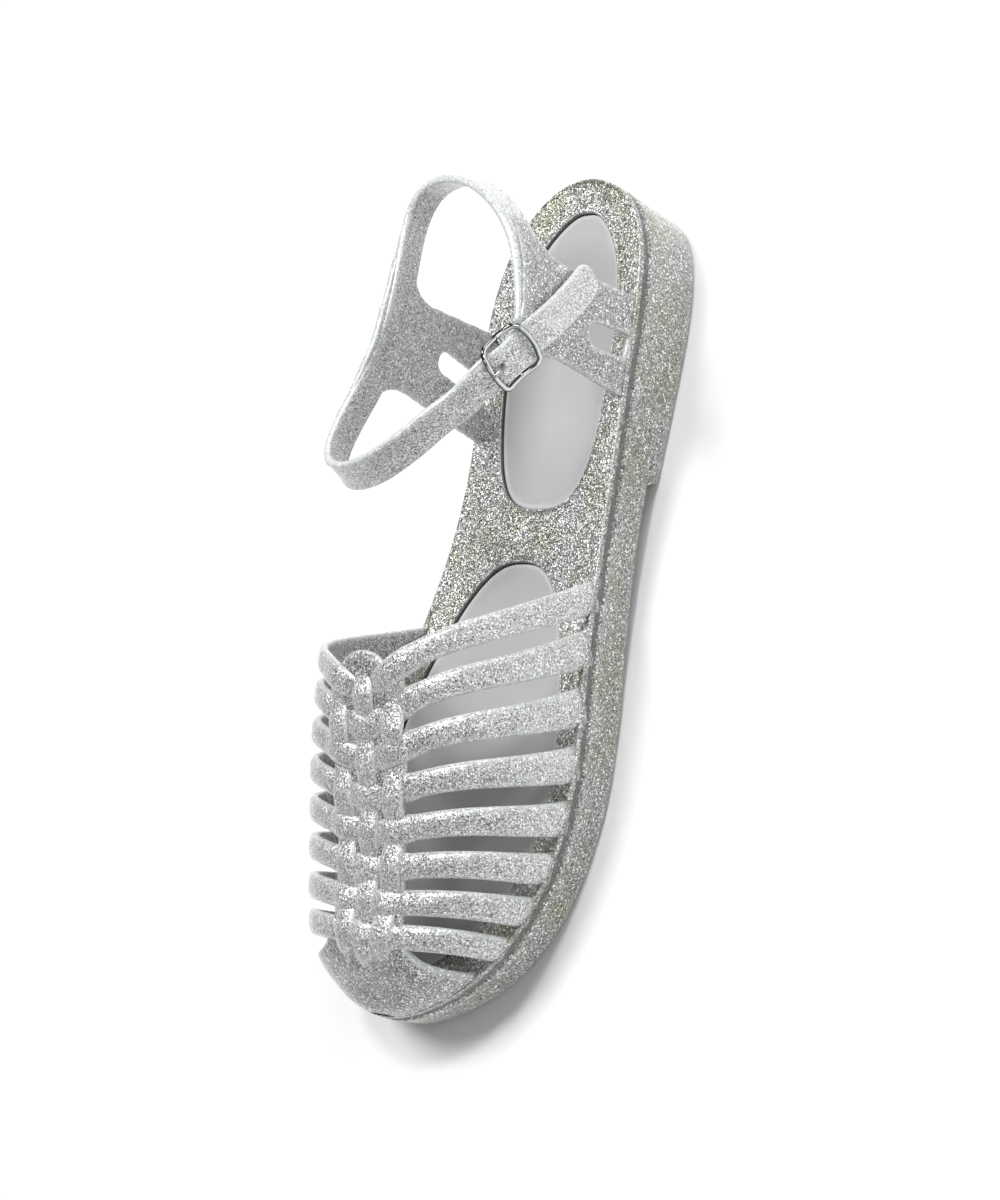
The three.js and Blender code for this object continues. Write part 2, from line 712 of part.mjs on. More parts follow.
// The buckle sits on the outer quarter, turned to the band's own direction
const buckleSeat = (() => {
  const y = alongY(buckleAt);
  const z = buckleHeight * collarHeight;
  const centre = v(wallX(1, y, z) + quarterWall / 2 + seatGap, y, z);
  const along = v(0.3, 0.845, -0.445).normalize();
  const across = v(0.93, -0.28, 0.2).cross(along).normalize();
  return { centre, along, out: along.clone().cross(across), across };
})();
const barHeight = fastenGap + buckleWire / 2;
const humpHeight = barHeight + buckleWire / 2 + fastenGap + tailThickness / 2;
const restHeight = fastenGap + tailThickness / 2;
const endBarHeight = restHeight + tailThickness / 2 + fastenGap + buckleWire / 2;

// A point near the buckle: along the band, across it, and out from the quarter
function atBuckle(along, across, out) {
  return buckleSeat.centre.clone()
    .addScaledVector(buckleSeat.along, along)
    .addScaledVector(buckleSeat.across, across)
    .addScaledVector(buckleSeat.out, out);
}

// The band's knots: round the ankle, then under the end bars and over the middle bar of the buckle,
// then down the outer quarter as its loose tail
function bandKnots() {
  const half = buckleLength / 2;
  const round = collarRows.map((row) => {
    const point = collarPoint(row);
    return { point, out: collarOut(point, row.lean), width: collarWidth, thickness: collarThickness };
  });
  const through = [
    { along: -half, out: restHeight },
    { along: -half * 0.5, out: mix(restHeight, humpHeight, 0.85) },
    { along: 0, out: humpHeight },
    { along: half * 0.5, out: mix(restHeight, humpHeight, 0.6) },
    { along: half, out: restHeight },
  ].map((row) => {
    const point = atBuckle(row.along, 0, row.out);
    return { point, out: buckleSeat.out, width: collarWidth, thickness: tailThickness };
  });
  const lying = tailRows.map((row) => {
    const y = alongY(row.at);
    const z = row.height * collarHeight;
    const point = v(wallX(1, y, z) + quarterWall / 2 + restHeight, y, z);
    return { point, out: v(1, 0, 0), width: collarWidth * row.width, thickness: tailThickness };
  });
  return [...round, ...through, ...lying];
}

// Frames along a smooth curve through the knots
function bandFrames(knots) {
  const count = knots.length - 1;
  const fine = [];
  const path = new THREE.CatmullRomCurve3(knots.map((knot) => knot.point), false, 'centripetal');
  knots.forEach((knot, i) => {
    const cuts = i < count ? bandCuts : 1;
    for (let cut = 0; cut < cuts; cut += 1) {
      const t = cut / bandCuts;
      const after = knots[Math.min(i + 1, count)];
      fine.push({
        point: path.getPoint((i + t) / count),
        out: knot.out.clone().lerp(after.out, t).normalize(),
        width: mix(knot.width, after.width, t),
        thickness: mix(knot.thickness, after.thickness, t),
      });
    }
  });
  return framesAlong(fine);
}

function strapLoop() {
  return band(bandFrames(bandKnots())).subtract(pinHole());
}

// The hole that the buckle's pin comes through
function pinHole() {
  const half = pinThickness / 2 + fastenGap;
  const room = new THREE.BoxGeometry(buckleLength * 0.19, half * 2, tailThickness * 4);
  const turn = new THREE.Matrix4().makeBasis(buckleSeat.along, buckleSeat.across, buckleSeat.out);
  room.applyMatrix4(turn);
  const place = atBuckle(-buckleLength * 0.28, 0, humpHeight - tailThickness / 2);
  room.translate(place.x, place.y, place.z);
  return solid(room);
}

// A round wire along points
function wire(points, thickness, steps) {
  const curve = new THREE.CatmullRomCurve3(points, false, 'centripetal');
  const ring = new THREE.Shape();
  ring.absarc(0, 0, thickness / 2, 0, Math.PI * 2, false);
  return solid(new THREE.ExtrudeGeometry(ring, {
    extrudePath: curve, steps, curveSegments: 4, bevelEnabled: false,
  }));
}

function buckleFrame() {
  const halfLong = buckleLength / 2 - buckleWire / 2;
  const halfWide = buckleWidth / 2 - buckleWire / 2;
  const corner = halfWide * 0.38;
  const bow = buckleLength * 0.04;
  const height = (along) => mix(barHeight, endBarHeight, (Math.abs(along) / halfLong) ** 2);
  const quarterTurn = [
    [halfLong + bow, 0],
    [halfLong + bow * 0.8, halfWide - corner],
    [halfLong, halfWide - corner * 0.35],
    [halfLong - corner * 0.5, halfWide],
    [halfLong - corner * 1.4, halfWide],
  ];
  const flip = (rows, a, b) => rows.map(([along, across]) => [along * a, across * b]);
  const loop = [
    ...quarterTurn,
    [0, halfWide],
    ...flip(quarterTurn, -1, 1).reverse(),
    ...flip(quarterTurn, -1, -1).slice(1),
    [0, -halfWide],
    ...flip(quarterTurn, 1, -1).reverse().slice(0, -1),
  ];
  const points = loop.map(([along, across]) => atBuckle(along, across, height(along)));
  const bar = wire([atBuckle(0, -halfWide, barHeight), atBuckle(0, halfWide, barHeight)], buckleWire, 1);
  return loopWire(points, buckleWire).add(bar);
}

// A round wire that closes on itself through the given points
function loopWire(points, thickness) {
  const count = points.length;
  const sides = 6;
  const sections = points.map((point, i) => {
    const along = points[(i + 1) % count].clone().sub(points[(i + count - 1) % count]).normalize();
    const across = buckleSeat.out.clone().cross(along).normalize();
    const out = along.clone().cross(across);
    return Array.from({ length: sides }, (_, j) => {
      const turn = (j / sides) * Math.PI * 2;
      return point.clone()
        .addScaledVector(across, (Math.cos(turn) * thickness) / 2)
        .addScaledVector(out, (Math.sin(turn) * thickness) / 2);
    });
  });
  const faces = [];
  for (let i = 0; i < count; i += 1) {
    for (let j = 0; j < sides; j += 1) {
      const a = i * sides + j;
      const b = i * sides + ((j + 1) % sides);
      const c = ((i + 1) % count) * sides + j;
      const d = ((i + 1) % count) * sides + ((j + 1) % sides);
      faces.push([a, b, d], [a, d, c]);
    }
  }
  return solid(meshFrom(sections.flat(), faces));
}

// The pin leaves the middle bar, comes up through the band and rests its tip on the front bar
function bucklePin() {
  const half = buckleLength / 2;
  const tipHeight = endBarHeight + buckleWire / 2 + fastenGap + pinThickness / 2;
  return wire([
    atBuckle(-(buckleWire + pinThickness) / 2 - seatGap, 0, barHeight),
    atBuckle(-half * 0.37, 0, barHeight + pinThickness * 0.1),
    atBuckle(-half * 0.58, 0, mix(barHeight, tipHeight, 0.52)),
    atBuckle(-half * 0.8, 0, mix(barHeight, tipHeight, 0.88)),
    atBuckle(-half - seatGap, 0, tipHeight),
  ], pinThickness, 8);
}

// Everything below the footbed's underside, where the upper's roots are trimmed
function belowFootbed() {
  const wide = -upperWall;
  const bottom = () => -toeSpring;
  const top = (x, y) => topEdge(y) + seatGap + footbedRound / 2;
  return slab([ringAt(outline, wide, bottom), ringAt(outline, wide, top)], top);
}

function upperSolid() {
  const open = Object.values(padRows).map(padRoom).reduce((body, room) => body.subtract(room), footbedPlate());
  const standing = joined([vamp(), quarter(1), quarter(-1), strapLoop()]);
  return open.add(standing.subtract(belowFootbed()));
}

function soleSolid() {
  return Object.values(padRows).map(padRoom).reduce((body, room) => body.subtract(room), soleBlock());
}

const shoe = new THREE.Group();
function add(name, geometry, material) {
  const mesh = new THREE.Mesh(geometry, material);
  mesh.name = name;
  shoe.add(mesh);
}

add('sole', geometryOf(soleSolid()), solePlastic);
add('upper', geometryOf(upperSolid()), upperPlastic);
add('buckle_frame', geometryOf(buckleFrame()), chrome);
add('buckle_pin', geometryOf(bucklePin()), chrome);
Object.entries(padRows).forEach(([name, row]) => add(name, geometryOf(insolePad(row)), padFoam));

// The origin is under the middle of the sole's outline
const widest = (side) => side * Math.max(...outline.map((point) => point.x * side));
shoe.position.x = -(widest(1) + widest(-1)) / 2;

export default shoe;
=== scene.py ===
import math
from bisect import bisect_left
from functools import lru_cache

import bmesh
import bpy
from mathutils import Matrix, Vector, kdtree


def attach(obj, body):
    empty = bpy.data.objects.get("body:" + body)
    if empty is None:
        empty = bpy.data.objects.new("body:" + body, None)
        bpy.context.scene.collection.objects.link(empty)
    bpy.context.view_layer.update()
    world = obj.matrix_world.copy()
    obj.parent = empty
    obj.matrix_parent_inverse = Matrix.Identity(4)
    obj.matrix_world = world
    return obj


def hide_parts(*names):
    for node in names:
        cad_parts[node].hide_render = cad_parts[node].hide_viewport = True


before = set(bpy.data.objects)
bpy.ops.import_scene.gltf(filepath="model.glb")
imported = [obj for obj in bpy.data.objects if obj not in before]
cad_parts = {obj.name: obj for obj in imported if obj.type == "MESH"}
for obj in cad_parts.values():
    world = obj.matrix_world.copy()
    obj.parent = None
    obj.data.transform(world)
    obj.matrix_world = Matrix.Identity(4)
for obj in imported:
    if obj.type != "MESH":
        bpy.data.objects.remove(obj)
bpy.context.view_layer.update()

scene = bpy.context.scene

# Every form is worked out in millimetres, as in the CAD model, and turned into metres at the end
sideShift = -1.41
mapLength = 100  # millimetres of a piece for each unit of its own map
weldDistance = 0.002

shoe = {
    "length": 255.0,
    "ballWidth": 90.0,
    "heelHeight": 24.8,
    "toeSpring": 7.0,
    "waistLift": 4.0,
    "sideTaper": 0.9,
    "breastAt": 0.343,
    "breastSlope": 0.007,
    "waistEndAt": 0.68,
    "toeLiftAt": 0.8,
    "footbedRise": 2.4,
    "footbedCup": 1.0,
    "seatGap": 0.3,
    "tabHeight": 66.0,
    "archSide": 0.62,
    "archTop": 0.72,
    "crestLean": 0.1,
    "rootDepth": 1.5,
    "upperInset": 0.6,
    "collarHeight": 70.0,
}

# Outline of the sole: place along the foot, outer and inner half width as shares of ballWidth
outlineRows = [
    (0, 0, 0), (0.012, 0.141, -0.145), (0.04, 0.241, -0.242), (0.09, 0.313, -0.319),
    (0.16, 0.352, -0.349), (0.25, 0.371, -0.329), (0.35, 0.387, -0.303), (0.45, 0.411, -0.312),
    (0.55, 0.446, -0.362), (0.64, 0.488, -0.428), (0.72, 0.513, -0.471), (0.79, 0.501, -0.482),
    (0.86, 0.454, -0.465), (0.92, 0.366, -0.412), (0.96, 0.25, -0.331), (0.988, 0.108, -0.205),
    (1, -0.044, -0.044),
]
topEdgeRows = [(0, 1), (0.2, 0.86), (0.4, 0.706), (0.6, 0.638), (0.8, 0.54), (0.9, 0.59), (1, 0.73)]
crestRows = [
    (0.45, 1.17), (0.56, 1.06), (0.63, 0.97), (0.693, 0.875), (0.752, 0.78), (0.811, 0.685),
    (0.87, 0.61), (0.929, 0.555), (0.9525, 0.51), (0.976, 0.43), (1, 0.32),
]


def mix(a, b, t):
    return a + (b - a) * t


def clamp(value, low, high):
    return max(low, min(high, value))


def smoothStep(low, high, value):
    t = clamp((value - low) / (high - low), 0.0, 1.0)
    return t * t * (3 - 2 * t)


def alongY(at):
    return shoe["length"] * (0.5 - at)


def shareOf(y):
    return clamp(0.5 - y / shoe["length"], 0.0, 1.0)


def turnOf(at):
    return math.acos(1 - 2 * clamp(at, 0.0, 1.0))


# A smooth curve through column k of a table against its first, rounding off at the heel and toe
def column(rows, k):
    turns = [turnOf(row[0]) for row in rows]
    values = [row[k] for row in rows]
    last = len(turns) - 1

    def slope(i):
        low, high = max(i - 1, 0), min(i + 1, last)
        return (values[high] - values[low]) / (turns[high] - turns[low])

    def curve(at):
        turn = clamp(turnOf(at), turns[0], turns[last])
        found = next((k for k, value in enumerate(turns) if value >= turn), last)
        i = max(found - 1, 0)
        run = turns[i + 1] - turns[i]
        t = (turn - turns[i]) / run
        rise = values[i + 1] - values[i]
        start, end = slope(i) * run, slope(i + 1) * run
        return values[i] + t * (start + t * (3 * rise - 2 * start - end + t * (start + end - 2 * rise)))

    return curve


outerShare, innerShare = column(outlineRows, 1), column(outlineRows, 2)
topShare, crestShare = column(topEdgeRows, 1), column(crestRows, 1)


@lru_cache(maxsize=None)
def edgeX(side, y):
    return shoe["ballWidth"] * (outerShare if side > 0 else innerShare)(shareOf(y))


@lru_cache(maxsize=None)
def topEdge(y):
    return shoe["heelHeight"] * topShare(shareOf(y))


def underside(y):
    at = shareOf(y)
    if at > shoe["toeLiftAt"]:
        return shoe["toeSpring"] * ((at - shoe["toeLiftAt"]) / (1 - shoe["toeLiftAt"])) ** 2
    if at < shoe["breastAt"] or at > shoe["waistEndAt"]:
        return 0.0
    waistStart = shoe["breastAt"] + shoe["breastSlope"]
    if at < waistStart:
        return shoe["waistLift"] * (at - shoe["breastAt"]) / shoe["breastSlope"]
    t = (shoe["waistEndAt"] - at) / (shoe["waistEndAt"] - waistStart)
    return shoe["waistLift"] * t * t * (3 - 2 * t)


def footbed(x, y):
    low, high = edgeX(-1, y), edgeX(1, y)
    half = max((high - low) / 2, 1)
    offCentre = min(abs(x - (low + high) / 2) / half, 1)
    return topEdge(y) + shoe["footbedRise"] - shoe["footbedCup"] * (1 - offCentre ** 2)


# Heights for a ring: over the underside, the sole's top edge and the footbed
def overUnderside(rise):
    return lambda x, y: underside(y) + rise


def overTop(rise):
    return lambda x, y: topEdge(y) + rise


def overFootbed(rise):
    return lambda x, y: footbed(x, y) + rise


# Points round an outline: heel tip, outer side, toe tip, inner side
def ringPlan(plan, heelY, toeY, steps, extra=()):
    def tip(y):
        return Vector(((plan(1, y) + plan(-1, y)) / 2, y, 0))

    even = [mix(heelY, toeY, (1 - math.cos(math.pi * (i + 1) / steps)) / 2) for i in range(steps - 1)]
    ys = sorted(even + list(extra), reverse=True)
    outer = [Vector((plan(1, y), y, 0)) for y in ys]
    inner = [Vector((plan(-1, y), y, 0)) for y in ys][::-1]
    return [tip(heelY)] + outer + [tip(toeY)] + inner


def ringAt(plan, inset, height):
    ring = []
    for i, point in enumerate(plan):
        along = (plan[(i + 1) % len(plan)] - plan[i - 1]).normalized()
        moved = point + Vector((along.y, -along.x, 0)) * inset
        moved.z = height(moved.x, moved.y)
        ring.append(moved)
    return ring


# A smooth curve through points, paced by their distances
def curveThrough(points):
    def point(position):
        last = len(points) - 1
        spot = clamp(position, 0.0, 1.0) * last
        i = min(int(spot), last - 1)
        t = spot - i
        before = points[i - 1] if i > 0 else points[0] * 2 - points[1]
        after = points[i + 2] if i + 2 <= last else points[last] * 2 - points[last - 1]
        p0, p1, p2, p3 = before, points[i], points[i + 1], after
        d0 = max((p1 - p0).length_squared ** 0.25, 1e-4)
        d1 = max((p2 - p1).length_squared ** 0.25, 1e-4)
        d2 = max((p3 - p2).length_squared ** 0.25, 1e-4)
        m1 = ((p1 - p0) / d0 - (p2 - p0) / (d0 + d1) + (p2 - p1) / d1) * d1
        m2 = ((p2 - p1) / d1 - (p3 - p1) / (d1 + d2) + (p3 - p2) / d2) * d1
        c2 = (p2 - p1) * 3 - m1 * 2 - m2
        c3 = (p1 - p2) * 2 + m1 + m2
        return p1 + m1 * t + c2 * t * t + c3 * t * t * t

    return point


# Squares up each place along a band: its outward direction and its direction across
def framesAlong(places, closed=False):
    frames = []
    count = len(places)
    for i, place in enumerate(places):
        before = places[i - 1 if closed else max(i - 1, 0)]["point"]
        after = places[(i + 1) % count if closed else min(i + 1, count - 1)]["point"]
        along = (after - before).normalized()
        across = place["out"].cross(along).normalized()
        frames.append({**place, "across": across, "out": along.cross(across).normalized()})
    return frames


def newMesh():
    bm = bmesh.new()
    bm.verts.layers.int.new("spoke")
    bm.verts.layers.float.new("across")
    bm.verts.layers.float.new("along")
    return bm


def mapLayers(bm):
    return bm.verts.layers.float["across"], bm.verts.layers.float["along"]


# Grows a closed ring of points step by step, each step one extrusion of the last ring's edges
def growRings(bm, rings, acrossOf, alongOf, close=False):
    spoke = bm.verts.layers.int["spoke"]
    across, along = mapLayers(bm)
    verts = bmesh.ops.create_circle(bm, cap_ends=False, segments=len(rings[0]), radius=1)["verts"]
    edges = list({edge for vert in verts for edge in vert.link_edges})
    for i, vert in enumerate(verts):
        vert[spoke] = i
    firstEdges = edges
    for step, ring in enumerate(rings):
        if step:
            grown = bmesh.ops.extrude_edge_only(bm, edges=edges)["geom"]
            verts = [part for part in grown if isinstance(part, bmesh.types.BMVert)]
            fresh = set(verts)
            edges = [part for part in grown if isinstance(part, bmesh.types.BMEdge)
                     and part.verts[0] in fresh and part.verts[1] in fresh]
        for vert in verts:
            vert.co = ring[vert[spoke]]
            vert[across] = acrossOf(step, vert[spoke])
            vert[along] = alongOf(step, vert[spoke])
    if close:
        bmesh.ops.bridge_loops(bm, edges=firstEdges + edges)
    return firstEdges, edges, verts


# Half of a strap's section from the middle of its face to the middle of its back, as shares of
# half its width and of its thickness
softSection = [
    (0.0, 0.5), (0.35, 0.49), (0.6, 0.43), (0.78, 0.33), (0.9, 0.2), (0.98, 0.04),
    (1.0, -0.14), (0.97, -0.32), (0.88, -0.45), (0.7, -0.5), (0.35, -0.5), (0.0, -0.5),
]
beadedSection = [
    (0.0, 0.36), (0.3, 0.36), (0.55, 0.37), (0.66, 0.42), (0.76, 0.49), (0.85, 0.5),
    (0.93, 0.42), (0.985, 0.22), (1.0, -0.05), (0.985, -0.3), (0.92, -0.45), (0.8, -0.5),
    (0.4, -0.5), (0.0, -0.5),
]


def wholeSection(half):
    return half + [(-across, out) for across, out in half[-2:0:-1]]


# One place along a band: a point, its outward direction and the size of the section there
def station(point, out, width, thickness):
    return {"point": point, "out": out, "width": width, "thickness": thickness}


def lengthsAlong(frames):
    lengths = [0.0]
    for before, spot in zip(frames, frames[1:]):
        lengths.append(lengths[-1] + (spot["point"] - before["point"]).length)
    return lengths


def sweep(bm, frames, section, closed=False):
    lengths = lengthsAlong(frames)
    rings = [[
        spot["point"] + spot["across"] * (across * spot["width"] / 2)
        + spot["out"] * (out * spot["thickness"]) for across, out in section
    ] for spot in frames]
    first, last, _ = growRings(
        bm, rings,
        lambda step, spoke: 0.5 + section[spoke][0] / 2,
        lambda step, spoke: lengths[step] / mapLength,
        close=closed,
    )
    if not closed:
        for rim in (first, last):
            bmesh.ops.holes_fill(bm, edges=rim, sides=0)


def roundSection(sides):
    turns = [2 * math.pi * i / sides for i in range(sides)]
    return [(math.cos(turn), math.sin(turn) / 2) for turn in turns]


# Rounds the ends of a band by shrinking its frames there, down to the least shares
def roundEnds(frames, reach, ends=(True, True), least=(0.12, 0.3)):
    total = lengthsAlong(frames)
    shaped = []
    for spot, gone in zip(frames, total):
        left = min(gone if ends[0] else reach, total[-1] - gone if ends[1] else reach, reach)
        share = math.sqrt(max(1 - (1 - left / reach) ** 2, 0.0))
        shaped.append({**spot, "width": spot["width"] * max(share, least[0]),
                       "thickness": spot["thickness"] * max(share, least[1])})
    return shaped


def writeUv(bm):
    uv = bm.loops.layers.uv.new("UVMap")
    across, along = mapLayers(bm)
    for face in bm.faces:
        for loop in face.loops:
            loop[uv].uv = (loop.vert[across], loop.vert[along])


def meshFrom(bm, name):
    mesh = bpy.data.meshes.new(name)
    bm.to_mesh(mesh)
    bm.free()
    return mesh


def addObject(name, data):
    holder = bpy.data.objects.new(name, data)
    scene.collection.objects.link(holder)
    return holder


def evaluatedMesh(holder):
    return bpy.data.meshes.new_from_object(holder.evaluated_get(bpy.context.evaluated_depsgraph_get()))


# From millimetres about the outline's own axis to metres in the frame
def toMetres(bm):
    bmesh.ops.translate(bm, vec=(sideShift, 0, 0), verts=bm.verts)
    bmesh.ops.scale(bm, vec=(0.001, 0.001, 0.001), verts=bm.verts)


def finishPiece(name, bm, material, replaced=()):
    bmesh.ops.recalc_face_normals(bm, faces=bm.faces)
    writeUv(bm)
    toMetres(bm)
    mesh = meshFrom(bm, name)
    mesh.materials.append(material)
    mesh.polygons.foreach_set("use_smooth", [True] * len(mesh.polygons))
    piece = addObject(name, mesh)
    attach(piece, "root")
    if replaced:
        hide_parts(*replaced)
    triangles = sum(len(polygon.vertices) - 2 for polygon in mesh.polygons)
    print(f"{name}: {triangles} triangles")
    return piece


sheet = {"smoothing": 3, "edgeReach": 10}


# A flat outline with holes, filled, given a thickness and remeshed into fine even cells.
# Points are (a, b) pairs; the third direction runs from 0 to 1 times the thickness.
def flatSheet(loops, thickness, voxel):
    bm = bmesh.new()
    for loop in loops:
        verts = [bm.verts.new((a, b, 0)) for a, b in loop]
        for i, vert in enumerate(verts):
            bm.edges.new((verts[i - 1], vert))
    bmesh.ops.triangle_fill(bm, use_beauty=True, use_dissolve=False, edges=bm.edges)
    top = bmesh.ops.extrude_face_region(bm, geom=bm.faces[:])["geom"]
    raised = [part for part in top if isinstance(part, bmesh.types.BMVert)]
    bmesh.ops.translate(bm, vec=(0, 0, thickness), verts=raised)
    bmesh.ops.recalc_face_normals(bm, faces=bm.faces)
    holder = addObject("flat", meshFrom(bm, "flat"))
    cells = holder.modifiers.new("cells", "REMESH")
    cells.mode = "VOXEL"
    cells.voxel_size = voxel
    result = evaluatedMesh(holder)
    bpy.data.objects.remove(holder)
    fine = newMesh()
    fine.from_mesh(result)
    for _ in range(sheet["smoothing"]):
        bmesh.ops.smooth_vert(fine, verts=fine.verts, factor=0.5, use_axis_x=True, use_axis_y=True,
                              use_axis_z=True)
    bpy.data.meshes.remove(result)
    edgeTree = kdtree.KDTree(sum(len(loop) for loop in loops))
    for i, (a, b) in enumerate(point for loop in loops for point in loop):
        edgeTree.insert((a, b, 0), i)
    edgeTree.balance()
    across, along = mapLayers(fine)
    for vert in fine.verts:
        gap = edgeTree.find((vert.co.x, vert.co.y, 0))[2]
        vert[across] = clamp(gap / sheet["edgeReach"], 0.0, 0.5)
        vert[along] = vert.co.y / mapLength
    return fine


# Points along a closed loop, no further apart than the step
def denseLoop(points, step):
    dense = []
    for i, point in enumerate(points):
        after = points[(i + 1) % len(points)]
        count = max(1, round(math.dist(point, after) / step))
        dense += [(mix(point[0], after[0], k / count), mix(point[1], after[1], k / count))
                  for k in range(count)]
    return dense


def quadratic(start, control, end, steps):
    return [tuple(start[k] * (1 - t) ** 2 + control[k] * 2 * t * (1 - t) + end[k] * t * t for k in (0, 1))
            for t in (i / steps for i in range(steps + 1))]


def roundedLoop(corners, rounds):
    loop = []
    for i, corner in enumerate(corners):
        corner = Vector(corner)
        back = Vector(corners[i - 1]) - corner
        ahead = Vector(corners[(i + 1) % len(corners)]) - corner
        reach = min(rounds[i], back.length / 2, ahead.length / 2)
        if reach == 0:
            loop.append(tuple(corner))
            continue
        enter = corner + back.normalized() * reach
        leave = corner + ahead.normalized() * reach
        loop += quadratic(enter, corner, leave, 8)
    return loop


# Wraps a shader socket, so that sums on it add Math nodes
class Link:
    def __init__(self, tree, socket):
        self.tree = tree
        self.socket = socket

    def combine(self, operation, first, second=None, clampIt=False):
        node = self.tree.nodes.new("ShaderNodeMath")
        node.operation = operation
        node.use_clamp = clampIt
        for i, value in enumerate((first, second)):
            if isinstance(value, Link):
                self.tree.links.new(value.socket, node.inputs[i])
            elif value is not None:
                node.inputs[i].default_value = value
        return Link(self.tree, node.outputs[0])

    def __add__(self, other):
        return self.combine("ADD", self, other)

    def __radd__(self, other):
        return self.combine("ADD", other, self)

    def __sub__(self, other):
        return self.combine("SUBTRACT", self, other)

    def __rsub__(self, other):
        return self.combine("SUBTRACT", other, self)

    def __mul__(self, other):
        return self.combine("MULTIPLY", self, other)

    def __rmul__(self, other):
        return self.combine("MULTIPLY", other, self)

    def __pow__(self, other):
        return self.combine("POWER", self, other)

    def __rpow__(self, other):
        return self.combine("POWER", other, self)

    def above(self, other):
        return self.combine("GREATER_THAN", self, other)

    def size(self):
        return self.combine("ABSOLUTE", self)

    def held(self):
        return self.combine("MULTIPLY", self, 1.0, clampIt=True)


class Finish:
    def __init__(self, name):
        self.material = bpy.data.materials.new(name)
        self.material.use_nodes = True
        self.tree = self.material.node_tree
        self.tree.nodes.clear()

    # Any node: its type, its settings, then the values or links of its sockets
    def node(self, kind, settings=None, **sockets):
        node = self.tree.nodes.new("ShaderNode" + kind)
        for name, value in (settings or {}).items():
            if name == "stops":
                ramp = node.color_ramp
                while len(ramp.elements) < len(value):
                    ramp.elements.new(0.5)
                for element, (position, colour) in zip(ramp.elements, value):
                    element.position = position
                    element.color = (*colour, 1)
            else:
                setattr(node, name, value)
        for name, value in sockets.items():
            key = int(name[1:]) if name[0] == "i" and name[1:].isdigit() else name.replace("_", " ")
            socket = node.inputs[key]
            if isinstance(value, Link):
                self.tree.links.new(value.socket, socket)
            else:
                socket.default_value = value
        return node

    def out(self, node, name=0):
        return Link(self.tree, node.outputs[name])

    def place(self):
        return self.out(self.node("TexCoord"), "Object")

    # How far across a piece a point lies by its own map, from 0 to 1
    def across(self):
        return self.out(self.node("SeparateXYZ", None, Vector=self.out(self.node("TexCoord"), "UV")))

    def noise(self, place, scale, **more):
        return self.out(self.node("TexNoise", None, Vector=place, Scale=scale, **more))

    def blend(self, share, first, second, how="MIX"):
        first, second = (value if isinstance(value, Link) else (*value, 1) for value in (first, second))
        node = self.node("Mix", {"data_type": "RGBA", "blend_type": how}, i0=share, i6=first, i7=second)
        return self.out(node, 2)

    def finish(self, **sockets):
        shader = self.node("BsdfPrincipled", None, **sockets)
        output = self.node("OutputMaterial")
        self.tree.links.new(shader.outputs[0], output.inputs["Surface"])
        return self.material


def grey(value):
    return (value, value, value)


# Silver flakes set in clear plastic. The piece's own map says how near an edge a point is, where the plastic
# is thin and milky with a painted highlight. Below the map's middle lies the groove, darkened by painted
# shade.
def glitterPlastic(name, look):
    finish = Finish(name)
    place = finish.place()

    def cells(size):
        return finish.node("TexVoronoi", {"feature": "F1"}, Vector=place, Scale=1000 / size, Randomness=1.0)

    def vector(operation, first, **more):
        return finish.out(finish.node("VectorMath", {"operation": operation}, i0=first, **more))

    flakes, sparks = cells(look["flake"]), cells(look["spark"])
    random = finish.out(flakes, "Color")
    pick = finish.node("SeparateColor", None, Color=random)
    tilt = vector("SCALE", vector("SUBTRACT", random, i1=(0.5, 0.5, 0.5)), Scale=look["tilt"])
    leaning = vector("NORMALIZE", vector("ADD", finish.out(finish.node("NewGeometry"), "Normal"), i1=tilt))
    patches = finish.noise(place, 1000 / look["patch"], Detail=2.0, Roughness=0.6)
    shade = (finish.out(pick, 0) + (patches - 0.5) * look["patchiness"]).held()
    chosen = finish.out(finish.node("SeparateColor", None, Color=finish.out(sparks, "Color")))
    sparkle = chosen.above(1 - look["sparkShare"]) * (
        1 - finish.out(sparks, "Distance").above(look["sparkReach"]))
    silver = finish.out(finish.node(
        "ValToRGB", {"stops": [(at, grey(value)) for at, value in look["greys"]]}, Fac=shade))
    clouds = finish.noise(place, 1000 / look["cloud"], Detail=3.0)
    depth = ((clouds - look["cloudFrom"]) * look["cloudGain"]).held() * look["depth"]
    body = finish.blend(depth, silver, finish.blend(1.0, silver, look["tint"], "MULTIPLY"))
    across = finish.across()
    # Near an edge the colour turns milky: partly the thin clear plastic's own look, partly a painted
    # highlight along the edge
    edge = (((across - 0.5).size() * 2) ** look["edgeFall"]).held() * look["edge"]
    body = finish.blend(edge, body, look["milkAndHighlight"])
    # Rare larger cells are painted white: painted glints of flakes catching the light
    body = finish.blend(sparkle, body, (1.0, 1.0, 1.0))
    # Painted shade: below the map's middle, in the sole's groove, the colour darkens towards the shadow
    # colour
    paintedGrooveShade = ((0.5 - across) * 2).held() * look["shade"]
    return finish.finish(
        Base_Color=finish.blend(paintedGrooveShade, body, look["shadow"]),
        Metallic=finish.out(pick, 1).above(look["bare"]) * look["metal"] * (1 - edge),
        Roughness=finish.out(pick, 2) * look["dullSpread"] + look["roughness"], Normal=leaning,
        Coat_Weight=look["gloss"], Coat_Roughness=look["coatRoughness"], IOR=1.5,
        Sheen_Weight=look["sheen"], Sheen_Roughness=look["sheenRoughness"],
        Subsurface_Weight=look["glow"], Subsurface_Radius=look["glowColour"],
        Subsurface_Scale=look["glowDepth"],
    )


